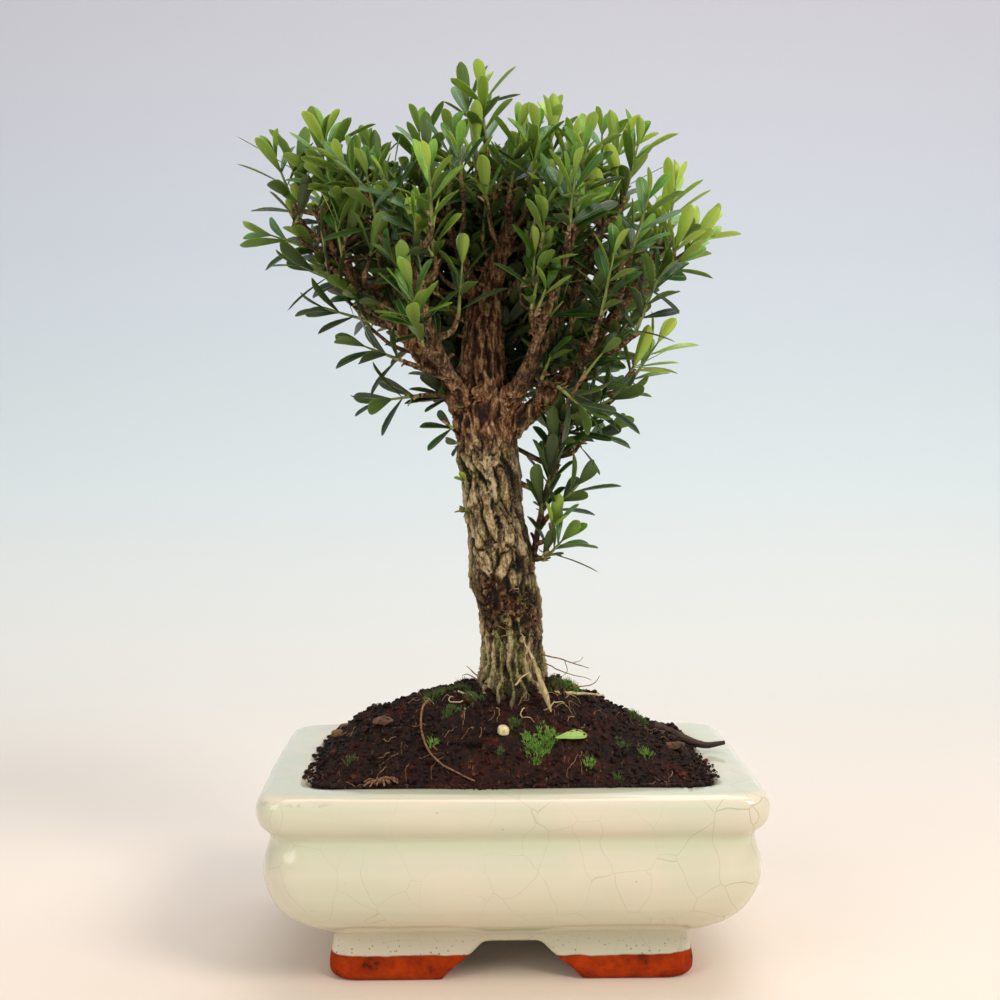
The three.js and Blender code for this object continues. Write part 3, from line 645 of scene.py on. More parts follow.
# Roots and straws are dry wood: pale strands along them, no gloss
PALE_ROOT = NaturalFinish("pale_dry_root", "#9c7f53", "#dccda0", 0.9, 0.75, (1, 1, 5))
BROKEN_ROOT = NaturalFinish("weathered_root", "#6a5f33", "#cdb98a", 1.3, 0.8, (1, 1, 4), 0.4)
BROWN_ROOT = NaturalFinish("brown_rootlet", "#4a2c1b", "#a37a50", 0.9, 0.8, (1, 1, 4))
CHIP = NaturalFinish("pine_bark_chip", "#26150e", "#7d553a", 1.6, 0.85, (1, 3, 1), 0.5)
DAMP_TWIG = NaturalFinish("damp_dead_twig", "#140c08", "#4f3828", 1.6, 0.8, (3, 1, 1), 0.4)
STONE = NaturalFinish("yellow_pebble", "#b5a564", "#e9e1b4", 1.4, 0.5)
FEED = NaturalFinish("pressed_feed_pellet", "#4a331f", "#8d6b44", 0.8, 0.85, depth_mm=0.4)
SCREEN = NaturalFinish("moulded_black_mesh", "#0d0f0e", "#1c201e", 0.8, 0.5, depth_mm=0.05)
# Bud scales are papery and dry
SCALE = NaturalFinish("dry_bud_scale", "#5b3d24", "#c2a072", 1.2, 0.85)
# A green stem is smooth and soft, striped along its length
GREEN_STEM = NaturalFinish("green_shoot_stem", "#4e5f2c", "#8f9e4e", 1.4, 0.5, (1, 1, 3), 0.1)


@cache
def finish(kind: object) -> bpy.types.Material:
    """Return the material of a finish, built once."""
    return kind.material()


# The pot


@dataclass
class Pot:
    """A press-moulded rectangular pot: cut-out foot, round belly, thick lip, hollow inside.

    Rows give the half width, the height and the corner radius of the clay's surface, from the
    hollow under the foot, up the outside, over the rim and down to the floor inside. Arches give
    the half width at the table and at the top, the height, and the half length of the cut.
    """

    depth_less: float = 25.0
    ring_points: int = 112
    corner_share: float = 0.32
    front_arch: tuple = (22, 10, 12, 110)
    side_arch: tuple = (12, 6, 10, 160)
    hole_x: float = 32.0
    hole_radius: float = 6.0
    bow_out: float = 1.1
    uneven: float = 0.22
    voxel: float = 1.3
    rows: list = field(default_factory=lambda: [
        (50.2, 13.0, 5.0), (50.3, 8.0, 5.0), (50.4, 1.4, 5.0), (51.6, 0.0, 5.4),
        (57.6, 0.0, 7.4), (58.8, 1.0, 8.0), (59.2, 3.0, 8.0), (59.1, 5.5, 8.0),
        (58.4, 8.4, 8.0), (57.9, 11.0, 8.0), (57.6, 14.0, 8.0), (58.8, 15.6, 8.2),
        (61.2, 16.7, 8.7), (65.2, 18.8, 9.3), (69.2, 21.5, 10.0), (72.4, 24.8, 10.7),
        (74.9, 28.5, 11.4), (76.7, 32.6, 12.0), (77.7, 36.8, 12.0), (77.9, 40.6, 12.0),
        (77.3, 44.3, 12.0), (76.2, 47.2, 11.3), (75.5, 49.2, 10.6), (75.2, 50.4, 10.0),
        (75.7, 51.4, 9.7), (77.0, 52.7, 9.5), (78.4, 54.4, 9.2), (79.3, 56.6, 9.0),
        (79.6, 59.3, 9.0), (79.4, 61.7, 9.0), (78.6, 63.5, 8.8), (77.3, 64.5, 8.6),
        (75.6, 65.0, 8.3), (71.5, 65.0, 8.3), (67.6, 64.9, 9.0), (65.8, 64.4, 9.5),
        (64.7, 63.4, 9.2), (64.2, 62.0, 9.0), (64.6, 59.8, 9.6), (65.5, 56.2, 10.1),
        (67.6, 49.0, 11.0), (68.7, 42.0, 11.0), (69.0, 36.0, 11.0), (68.0, 30.0, 10.5),
        (65.5, 25.5, 9.8), (62.5, 22.6, 9.0), (58.0, 22.0, 8.0)])

    def outline(self, half: float, corner: float) -> np.ndarray:
        """Return points of a rounded rectangle, whose places match from ring to ring.

        Args:
            half: half of its width.
            corner: its corner radius.

        Returns:
            Rows of x and y.
        """
        half_y = half - self.depth_less
        quarter = self.ring_points // 4
        arc_share = self.corner_share
        rows = []
        for i in range(self.ring_points):
            turn, step = divmod(i, quarter)
            t = (step + 0.5) / quarter
            near, far = (half, half_y) if turn % 2 == 0 else (half_y, half)
            if t < 1 - arc_share:
                x, y = near, (2 * t / (1 - arc_share) - 1) * (far - corner)
            else:
                angle = (t - 1 + arc_share) / arc_share * math.pi / 2
                x = near - corner + corner * math.cos(angle)
                y = far - corner + corner * math.sin(angle)
            c, s = round(math.cos(turn * math.pi / 2)), round(math.sin(turn * math.pi / 2))
            rows.append((c * x - s * y, s * x + c * y))
        return np.array(rows)

    def shell(self) -> bpy.types.Object:
        """Pull the clay's surface ring by ring from the hollow under the foot to the floor."""
        half, z, corner = self.rows[0]
        start_fresh()
        bpy.ops.mesh.primitive_circle_add(vertices=self.ring_points, radius=half)
        shell = bpy.context.object
        first = self.outline(half, corner)
        set_points(shell, np.column_stack([first, np.full(len(first), z)]))
        start_edit()
        bpy.ops.mesh.edge_face_add()
        for (half, z, _), (next_half, next_z, _) in zip(self.rows, self.rows[1:]):
            bpy.ops.mesh.extrude_edges_move(TRANSFORM_OT_translate={"value": (0, 0, next_z - z)})
            less = self.depth_less
            grow = (next_half / half, (next_half - less) / (half - less), 1)
            bpy.ops.transform.resize(value=grow, center_override=(0, 0, next_z))
        bpy.ops.mesh.edge_face_add()
        end_edit()
        self.true_corners(shell, first)
        return shell

    def true_corners(self, shell: bpy.types.Object, first: np.ndarray) -> None:
        """Give each ring its own corner radius, which scaling alone stretches."""
        points = points_of(shell)
        half_0 = self.rows[0][0]
        for k, (half, z, corner) in enumerate(self.rows):
            part = slice(k * self.ring_points, (k + 1) * self.ring_points)
            less = self.depth_less
            unscaled = points[part, :2] * (half_0 / half, (half_0 - less) / (half - less))
            match = np.argmin(np.linalg.norm(unscaled[:, None] - first[None], axis=2), axis=1)
            points[part, :2] = self.outline(half, corner)[match]
            points[part, 2] = z
        set_points(shell, points)

    def bow(self, shell: bpy.types.Object) -> None:
        """Swell the belly's four sides outwards a little, as pressed clay dries."""
        points = points_of(shell)
        belly = rise(15, 30, points[:, 2]) * (0.4 + 0.6 * rise(58, 46, points[:, 2]))
        for axis, far, run in ((0, 75.0, 50.0), (1, 50.0, 75.0)):
            outer = rise(0.8, 1.0, np.abs(points[:, axis]) / far)
            middle = 1 - np.clip(points[:, 1 - axis] / run, -1, 1) ** 2
            points[:, axis] += np.sign(points[:, axis]) * self.bow_out * outer * belly * middle
        set_points(shell, points)

    def arch(self, low: float, high: float, top: float, reach: float) -> bpy.types.Object:
        """Make the block that cuts one pair of arches: wide at the table, with round shoulders.

        Args:
            low: half width at the table.
            high: half width at the top.
            top: height of the opening.
            reach: half length of the block.

        Returns:
            The block, lying along y.
        """
        start_fresh()
        bpy.ops.mesh.primitive_plane_add(size=2, location=(0, 0, top))
        block = bpy.context.object
        bpy.ops.object.mode_set(mode="EDIT")
        bpy.ops.transform.resize(value=(high, reach, 1), center_override=(0, 0, top))
        steps = 8
        width, z = high, top
        for i in range(1, steps + 1):
            t = i / steps
            next_z = top * (1 - t) - (1 if i == steps else 0)
            share = (0.5 - 0.5 * math.cos(math.pi * t) + 0.35 * t) / 1.35
            next_width = high + (low - high) * share
            bpy.ops.mesh.extrude_region_move(TRANSFORM_OT_translate={"value": (0, 0, next_z - z)})
            bpy.ops.transform.resize(value=(next_width / width, 1, 1),
                                     center_override=(0, 0, next_z))
            width, z = next_width, next_z
        end_edit()
        take(block)
        bpy.ops.object.transform_apply(location=True)
        return block

    def cut(self, shell: bpy.types.Object) -> None:
        """Cut the four arches out of the foot ring and the two drain holes out of the floor."""
        front, side = self.arch(*self.front_arch), self.arch(*self.side_arch)
        side.data.transform(Matrix.Rotation(math.pi / 2, 4, "Z"))
        cutters = [front, side]
        for x in (-self.hole_x, self.hole_x):
            start_fresh()
            bpy.ops.mesh.primitive_cylinder_add(vertices=32, radius=self.hole_radius, depth=22,
                                                location=(x, 0, 18))
            cutters.append(bpy.context.object)
        for cutter in cutters:
            apply_modifier(shell, "BOOLEAN", object=cutter, operation="DIFFERENCE",
                           solver="EXACT")
            bpy.data.objects.remove(cutter)

    def soften(self, shell: bpy.types.Object) -> None:
        """Round every edge as glaze does, and let the glazed surface swell unevenly."""
        apply_modifier(shell, "REMESH", mode="VOXEL", voxel_size=self.voxel)
        apply_modifier(shell, "SMOOTH", factor=0.5, iterations=8)
        points = points_of(shell)
        uneven = self.uneven * noise(points, 34, 3, 2)
        glazed = rise(14, 20, points[:, 2])
        set_points(shell, points + normals_of(shell) * (uneven * glazed)[:, None])

    def mark(self, shell: bpy.types.Object) -> None:
        """Store where the glaze pools and where it runs thin."""
        points = points_of(shell)
        z = points[:, 2]
        patchy = 0.5 + 0.5 * noise(points, 18, 9, 2)
        groove = 0.7 * np.exp(-((z - 50.3) / 3.0) ** 2) + 0.4 * np.exp(-((z - 18) / 4.0) ** 2)
        rim_top = rise(64.0, 64.8, z) * patchy
        set_attribute(shell, "pool", np.clip(groove + 0.8 * rim_top, 0, 1))
        lip = np.exp(-((z - 63.8) / 0.8) ** 2) * (0.4 + 0.6 * patchy)
        set_attribute(shell, "edge", np.clip(0.9 * lip, 0, 1))

    def build(self) -> None:
        """Model, cut, soften and glaze the pot."""
        shell = self.shell()
        self.bow(shell)
        self.cut(shell)
        self.soften(shell)
        self.mark(shell)
        smooth(shell)
        finish_piece(shell, "glazed_pot", [CeladonGlaze()], ("pot",))
        for node in ("drain_screen_left", "drain_screen_right"):
            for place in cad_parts[node].material_slots:
                place.material = finish(SCREEN)


# Wood


def curve_points(points: tuple, steps: int) -> np.ndarray:
    """Return points of a smooth curve through given points, evenly spread in its own measure.

    Args:
        points: the points that the curve passes.
        steps: how many steps it is cut into.

    Returns:
        One row more than there are steps.
    """
    p = np.array(points, float)
    p = np.vstack([2 * p[0] - p[1], p, 2 * p[-1] - p[-2]])
    rows = []
    for i in range(steps + 1):
        walk = i / steps * (len(points) - 1)
        k = min(int(walk), len(points) - 2)
        t = walk - k
        a, b, c, d = p[k:k + 4]
        before, here, after = (max(float(np.linalg.norm(v)) ** 0.5, 1e-6)
                               for v in (b - a, c - b, d - c))
        leave = ((b - a) / before - (c - a) / (before + here) + (c - b) / here) * here
        meet = ((c - b) / here - (d - b) / (here + after) + (d - c) / after) * here
        rows.append((2 * t ** 3 - 3 * t ** 2 + 1) * b + (t ** 3 - 2 * t ** 2 + t) * leave
                    + (3 * t ** 2 - 2 * t ** 3) * c + (t ** 3 - t ** 2) * meet)
    return np.array(rows)


def spread(values: tuple, steps: int) -> np.ndarray:
    """Spread a few values evenly over the points of a curve, straight in between."""
    return np.interp(np.linspace(0, len(values) - 1, steps + 1), range(len(values)), values)


def tubes(name: str, lines: list[tuple[np.ndarray, np.ndarray]],
          roundness: int = 2) -> bpy.types.Object:
    """Make closed round tubes along lines, each with a radius at every point, in one mesh.

    Args:
        name: the object's name.
        lines: for each tube its points and its radii.
        roundness: how round the section is; 0 gives four sides.

    Returns:
        The object.
    """
    data = bpy.data.curves.new(name, "CURVE")
    data.dimensions = "3D"
    data.bevel_depth = 1.0
    data.bevel_resolution = roundness
    data.use_fill_caps = True
    for points, radii in lines:
        spline = data.splines.new("POLY")
        spline.points.add(len(points) - 1)
        spline.points.foreach_set("co", np.column_stack([points, np.ones(len(points))]).ravel())
        spline.points.foreach_set("radius", np.asarray(radii, float))
    take(add_object(name, data))
    bpy.ops.object.convert(target="MESH")
    return bpy.context.object


def strewn(name: str, places: np.ndarray, radii: np.ndarray,
           rng: np.random.Generator) -> bpy.types.Object:
    """Make uneven crumbs, each a copy of one small lump, with its own tone.

    Args:
        name: the object's name.
        places: the middle of each crumb.
        radii: the size of each.
        rng: the random draws for their forms.

    Returns:
        The object.
    """
    start_fresh()
    bpy.ops.mesh.primitive_ico_sphere_add(subdivisions=1, radius=1)
    shape, faces = pattern_of(bpy.context.object)
    blocks = []
    for place, radius in zip(places, radii):
        block = shape * rng.uniform(0.65, 1.25, (len(shape), 1))
        block = block * (rng.uniform(0.7, 1.3), rng.uniform(0.7, 1.3), 0.75) * radius
        blocks.append(block @ about_z(rng.uniform(0, 2 * math.pi)) + place)
    rows = np.vstack([np.array(faces) + len(shape) * i for i in range(len(blocks))])
    piece = mesh_object(name, np.vstack(blocks), rows.tolist())
    set_attribute(piece, "lump", np.repeat(rng.normal(0, 0.1, len(blocks)), len(shape)))
    smooth(piece, 50)
    return piece


@dataclass(frozen=True)
class Branch:
    """One branch: points along its middle and the radius at each, in millimetres."""

    points: tuple
    radii: tuple

    def line(self, steps: int) -> tuple[np.ndarray, np.ndarray]:
        """Return points and radii at even steps along the branch."""
        return curve_points(self.points, steps), spread(self.radii, steps)


BRANCHES = (
    Branch(((-9, 0, 180), (-9.2, 0, 194), (-8.8, 0, 207), (-7.9, 0, 220), (-4.6, -1, 230),
            (-1.2, -2, 238), (0.9, -3, 248), (1.6, -4, 258)),
           (9.2, 7.4, 6.9, 5.2, 3.4, 2.6, 2.0, 1.5)),
    Branch(((-11, -1, 176), (-17, -3, 186), (-24, -5, 195), (-36.6, -8, 210), (-53, -10, 228),
            (-60, -10, 239), (-64, -9, 249)), (5.2, 4.6, 3.9, 3.1, 2.3, 1.8, 1.3)),
    Branch(((-6, -1, 171), (3, -3, 179), (11, -5, 185), (20.5, -7, 196), (30, -8, 208),
            (42, -8, 224), (52, -8, 239)), (4.6, 4.0, 3.4, 2.8, 2.4, 1.9, 1.3)),
    Branch(((-4, -2, 180), (3, -5, 188), (9.5, -9, 201), (16, -12, 212), (23, -14, 224),
            (30, -12, 243)), (3.2, 2.5, 2.1, 1.9, 1.6, 1.1)),
    Branch(((-8.5, 0, 214), (-13, 0, 226), (-19, -2, 240), (-26, -3, 254)),
           (3.2, 2.5, 2.0, 1.2)),
    Branch(((2, 0, 126), (7.5, -1, 133), (9.6, -1, 142), (11.2, -1, 151), (14, -2, 161),
            (17.5, -2, 172), (22, -3, 184)), (1.7, 1.5, 1.3, 1.2, 1.2, 1.1, 0.9)),
    Branch(((-9, 3, 184), (-15, 12, 196), (-23, 22, 210), (-32, 32, 226), (-38, 38, 242)),
           (4.2, 3.4, 2.7, 2.0, 1.3)),
    Branch(((-8, 3, 190), (-5, 12, 204), (-2, 24, 220), (1, 34, 240)), (3.8, 3.0, 2.2, 1.3)),
    Branch(((-6, 2, 178), (4, 10, 190), (17, 19, 203), (30, 25, 219), (40, 27, 236)),
           (3.9, 3.1, 2.4, 1.8, 1.2)),
    Branch(((-13, -4, 182), (-19, -12, 192), (-25, -21, 205), (-30, -28, 222), (-35, -32, 238)),
           (3.4, 2.6, 2.1, 1.6, 1.1)),
    Branch(((-3, -4, 183), (4, -13, 194), (9, -21, 207), (14, -28, 222), (20, -33, 238)),
           (3.0, 2.3, 1.9, 1.5, 1.0)),
)
# Young twigs climb at least this share of their length
STEEP = 0.6


class Tone(Enum):
    """The age of a shoot's leaves: the tones of its oldest and of its youngest ones."""

    FRESH = (0.72, 1.0)
    YOUNG = (0.45, 0.88)
    MID = (0.2, 0.66)
    OLD = (0.0, 0.34)

    @property
    def slot(self) -> Slot:
        """The record's slot for leaves of this age."""
        return {"MID": Slot.LEAF_MID, "OLD": Slot.LEAF_OLD}.get(self.name, Slot.LEAF_YOUNG)


@dataclass(frozen=True)
class Shoot:
    """A leafy shoot: the foot of its green stem, the tip of its last leaves, and its tone.

    Where tips are given, its leaves reach to them, and otherwise they stand in crossed pairs.
    """

    name: str
    foot: tuple
    tip: tuple
    tone: Tone
    tips: tuple = ()

    @property
    def direction(self) -> np.ndarray:
        """The way the stem grows."""
        way = np.subtract(self.tip, self.foot)
        return way / np.linalg.norm(way)

    @property
    def length(self) -> float:
        """From the foot of the stem to the tip of the last leaves."""
        return float(np.linalg.norm(np.subtract(self.tip, self.foot)))


SHOOTS = tuple(Shoot(name, foot, tip, Tone[tone]) for name, foot, tip, tone in (
    ("far_left", (-69, -7, 245), (-80, -8, 273), "MID"),
    ("far_left_low", (-62, -3, 234), (-88, -4, 243), "MID"),
    ("left_high", (-58, -14, 251), (-60, -16, 280), "YOUNG"),
    ("left_low", (-53, -14, 223), (-77, -18, 232), "OLD"),
    ("left_lower", (-45, -9, 211), (-70, -12, 218), "OLD"),
    ("left_lowest", (-35, -18, 198), (-56, -25, 206), "OLD"),
    ("left_tuft", (-44, 3, 250), (-48, 4, 277), "MID"),
    ("crown_left", (-30, 1, 258), (-30, 1, 284), "MID"),
    ("crown_left_front", (-20, -14, 252), (-19, -18, 279), "MID"),
    ("apex", (-8, -3, 268), (-10, -4, 297), "YOUNG"),
    ("apex_right", (0, -14, 254), (4, -18, 281), "MID"),
    ("crown_middle_front", (7, -20, 251), (8, -24, 279), "MID"),
    ("crown_right", (14, 0, 260), (13, 0, 287), "YOUNG"),
    ("crown_right_front", (22, -19, 250), (25, -23, 277), "MID"),
    ("crown_right_outer", (31, 3, 257), (31, 3, 284), "MID"),
    ("right_shoulder", (37, -8, 250), (44, -10, 278), "MID"),
    ("right_bright", (51, -11, 238), (55, -13, 264), "FRESH"),
    ("right_bright_outer", (54, -4, 229), (70, -4, 250), "FRESH"),
    ("right_middle", (42, -17, 221), (61, -23, 236), "MID"),
    ("right_low_bright", (40, -2, 191), (55, -4, 213), "FRESH"),
    ("right_low", (24, -11, 182), (46, -15, 191), "OLD"),
    ("right_lower", (22, 5, 170), (42, 6, 180), "OLD"),
    ("side_shoot_middle", (14, -5, 148), (29, -10, 165), "OLD"),
    ("side_shoot_foot", (12.5, -3, 133), (24, -6, 146), "MID"),
    ("front_left_bright", (-28, -33, 202), (-33, -43, 229), "YOUNG"),
    ("front_left_high", (-24, -27, 229), (-30, -33, 253), "MID"),
    ("front_left_inner", (-17, -23, 212), (-15, -28, 238), "MID"),
    ("front_right_inner", (6, -27, 214), (12, -33, 241), "MID"),
    ("front_right", (28, -29, 212), (33, -37, 240), "MID"),
    ("front_right_outer", (39, -24, 206), (49, -32, 232), "OLD"),
    ("left_under", (-30, -11, 187), (-52, -17, 184), "OLD"),
    ("right_under", (15, -17, 190), (31, -25, 176), "OLD"),
    ("front_left_top", (-42, -28, 238), (-47, -36, 264), "MID"),
    ("front_middle_top", (-25, -38, 239), (-26, -47, 264), "YOUNG"),
    ("front_right_top", (17, -39, 237), (19, -49, 262), "MID"),
    ("front_right_side", (37, -33, 231), (44, -42, 256), "MID"),
    ("back_left", (-55, 24, 236), (-67, 30, 262), "MID"),
    ("back_left_top", (-34, 42, 240), (-40, 51, 266), "MID"),
    ("back_middle_top", (-6, 46, 246), (-7, 56, 271), "YOUNG"),
    ("back_right_top", (20, 42, 243), (25, 51, 268), "MID"),
    ("back_right", (45, 27, 233), (56, 32, 258), "YOUNG"),
    ("back_left_low", (-29, 31, 207), (-44, 45, 222), "OLD"),
    ("back_middle_low", (2, 34, 212), (4, 54, 228), "OLD"),
    ("back_right_low", (29, 24, 200), (47, 36, 214), "OLD"),
    ("inner_left", (-15, 17, 255), (-17, 19, 282), "MID"),
    ("inner_right", (11, 19, 251), (13, 22, 279), "MID"),
))


# Tufts whose leaves are placed one by one: foot, tone and the tips of the leaves
TUFTS = tuple(Shoot(name, foot, max(tips, key=lambda tip: tip[2]), Tone[tone], tips)
              for name, foot, tone, tips in (
    ("right_1", (48, -5, 234), "FRESH", ((45, -8, 252), (55, -6, 263), (62, -12, 258),
                                         (51, -13, 256))),
    ("right_2", (59, -8, 235), "FRESH", ((68, -12, 248), (65, -18, 241), (70, -6, 243))),
    ("right_3", (53, -14, 233), "FRESH", ((58, -20, 248), (50, -21, 246), (62, -21, 240))),
    ("right_low", (40, -6, 195), "FRESH", ((47, -6, 210), (55, -10, 204), (52, -12, 195),
                                           (56, -7, 199))),
    ("top_right", (37, -4, 255), "YOUNG", ((33, -4, 281), (42, -8, 279), (49, -2, 274),
                                           (45, -10, 266), (31, -10, 269))),
    ("top_right_low", (30, -14, 246), "YOUNG", ((27, -20, 260), (35, -19, 257), (25, -21, 253))),
    ("top_1", (19, -3, 262), "YOUNG", ((19, -8, 278), (25, 0, 280), (14, -2, 277), (25, -9, 273))),
    ("top_2", (13, -4, 264), "FRESH", ((11.5, -6, 285.5), (15, -5, 286))),
    ("top_3", (7, -6, 263), "YOUNG", ((3, -8, 280), (9, -7, 279), (0, -10, 273))),
    ("top_front", (12, -21, 250), "FRESH", ((12, -28, 261), (20, -26, 258), (5, -27, 257))),
    ("apex", (-11, -3, 263), "MID", ((-16, -5, 296), (-8, -2, 296), (-19, 3, 290), (1, -4, 291),
                                     (-4, -8, 285))),
    ("apex_front", (-11, -9, 260), "FRESH", ((-11, -14, 282), (-6, -13, 271), (-16, -12, 272))),
    ("apex_low", (-8, -22, 249), "YOUNG", ((-10, -30, 262), (-4, -29, 259), (-13, -28, 256))),
    ("crown_left", (-27, -7, 260), "MID", ((-33, -10, 276), (-28, -4, 280), (-23, -15, 272),
                                           (-20, -6, 275), (-31, -15, 268))),
    ("tuft", (-44, -6, 258), "MID", ((-48, -6, 272), (-40, -12, 269), (-44, -4, 274))),
    ("left_high", (-57, -10, 247), "MID", ((-65, -12, 280), (-58, -17, 277), (-45, -4, 277),
                                           (-67, -10, 266), (-50, -17, 262))),
    ("far_left", (-71, -7, 252), "MID", ((-78, -6, 274), (-74, -12, 271), (-67, -4, 275),
                                         (-89, -6, 272), (-66, -12, 264))),
    ("far_left_low", (-69, -14, 243), "OLD", ((-64, -19, 257), (-77, -18, 252))),
    ("middle_left", (-24, -27, 234), "FRESH", ((-33, -34, 248), (-23, -36, 248), (-16, -34, 243))),
    ("front_left", (-29, -33, 204), "YOUNG", ((-41, -40, 225), (-35, -42, 234), (-24, -42, 222),
                                              (-19, -44, 215), (-42, -44, 213), (-31, -46, 215))),
    ("left_middle", (-53, -22, 235), "MID", ((-57, -28, 249), (-48, -27, 250))),
    ("left_inner", (-45, -24, 231), "MID", ((-40, -30, 246), (-49, -31, 245))),
    ("fork_left", (-19, -5, 176), "OLD", ((-27, -9, 169), (-24, -8, 182), (-30, -6, 177))),
    ("fork_left_high", (-20, -5, 186), "OLD", ((-33, -9, 190), (-35, -7, 185), (-30, -10, 196),
                                               (-28, -10, 182), (-24, -11, 193), (-31, 1, 186))),
    ("trunk_high", (-16.5, -5, 171), "OLD", ((-21.5, -7, 172.5), (-19, -7, 167))),
    ("trunk_middle", (-14.5, -4, 158), "FRESH", ((-18.5, -6, 160), (-16.5, -7, 162))),
    ("trunk_low", (-13.5, -4, 148.5), "MID", ((-17, -5, 149.5), (-15.5, -7, 147))),
    ("side_inner_low", (11, -3, 148), "OLD", ((6, -8, 160), (8, -10, 165), (16, -10, 161),
                                              (18, -6, 157), (9, 3, 163))),
    ("side_inner", (13, -4, 157), "OLD", ((8, -9, 173), (6, -8, 167), (18, -10, 171),
                                          (21, -7, 166), (14, -11, 175), (10, 3, 171))),
    ("side_inner_high", (16, -4, 166), "OLD", ((10, -9, 182), (13, -11, 184), (22, -10, 181),
                                               (26, -8, 176), (8, -7, 177), (15, 4, 181))),
    ("side_high", (19, -4, 174), "OLD", ((28, -9, 187), (31, -8, 179), (24, -11, 190),
                                         (34, -6, 173), (20, 4, 189), (12, -5, 187))),
    ("side_low", (11, -5, 133), "OLD", ((17.5, -9, 135), (14.5, -8, 143))),
    ("side_middle", (14, -6, 142), "YOUNG", ((16, -10, 155), (22, -10, 152), (19, -11, 148),
                                             (12, -10, 152))),
))
# The crown's outline: height, left and right edge; and from left to right its highest leaves
CROWN = ((133, 9, 12), (140, 9, 15), (150, 9, 19), (157, 9, 22), (170, 8, 26), (175, 4, 31),
         (177, -22, 33), (184, -29, 39), (193, -37, 45), (204, -46, 49), (213, -55, 47),
         (220, -62, 48), (230, -70, 57), (241, -74, 63), (255, -78, 62), (270, -77, 46),
         (286, -64, 34))
CROWN_TOP = ((-84, 258), (-70, 268), (-58, 276), (-45, 268), (-30, 272), (-10, 280), (15, 280),
             (30, 276), (42, 271), (47, 255), (56, 253), (66, 249), (72, 241))
# Left open in the view from the front: left and right edge, lower and upper one
OPEN_SKY = ((39, 44, 238, 258), (-71, -66, 246, 264), (-21, 3, 176, 238))


@cache
def branch_samples() -> tuple:
    """Return 21 points along the middle of each branch."""
    return tuple(branch.line(20)[0] for branch in BRANCHES)


def twig_root(foot: np.ndarray, direction: np.ndarray, steep: float = 0.0) -> np.ndarray:
    """Return the point inside a branch from which a twig climbs to a shoot the shortest way.

    Args:
        foot: where the shoot's green stem starts.
        direction: the way that the stem grows.
        steep: the share of the twig's length that it should climb at least.

    Returns:
        The point.
    """
    best_cost, best = math.inf, None
    for samples in branch_samples():
        for point in samples[3:]:
            way = foot - point
            length = float(np.linalg.norm(way))
            against = max(0.0, 0.35 - float(way @ direction) / length) if length > 0 else 0.0
            flat = max(0.0, steep - float(way[2]) / length) if length > 0 else 0.0
            cost = length + 22 * against + 30 * flat + (12 - 2 * length if length < 6 else 0)
            if cost < best_cost:
                best_cost, best = cost, point
    return best


def twig_line(shoot: Shoot, steep: float = 0.0) -> tuple[np.ndarray, np.ndarray]:
    """Return the points and radii of the twig that carries a shoot, a steep one if need be."""
    foot, way = np.array(shoot.foot, float), shoot.direction
    root = twig_root(foot, way, steep)
    before = foot - way * 0.4 * float(np.linalg.norm(foot - root))
    middle = root + (before - root) * 0.75
    middle[2] = max(middle[2], root[2] + 0.3 * (foot[2] - root[2]))
    line = curve_points((tuple(root), tuple(middle), tuple(foot)), 10)
    wiggle = noise(line, 6, 55)
    fade = np.sin(np.linspace(0, math.pi, len(line)))
    line += np.column_stack([0.7 * wiggle * fade, 0.5 * np.roll(wiggle, 3) * fade, 0 * fade])
    return line, spread((1.5, 1.2, 0.95), 10)


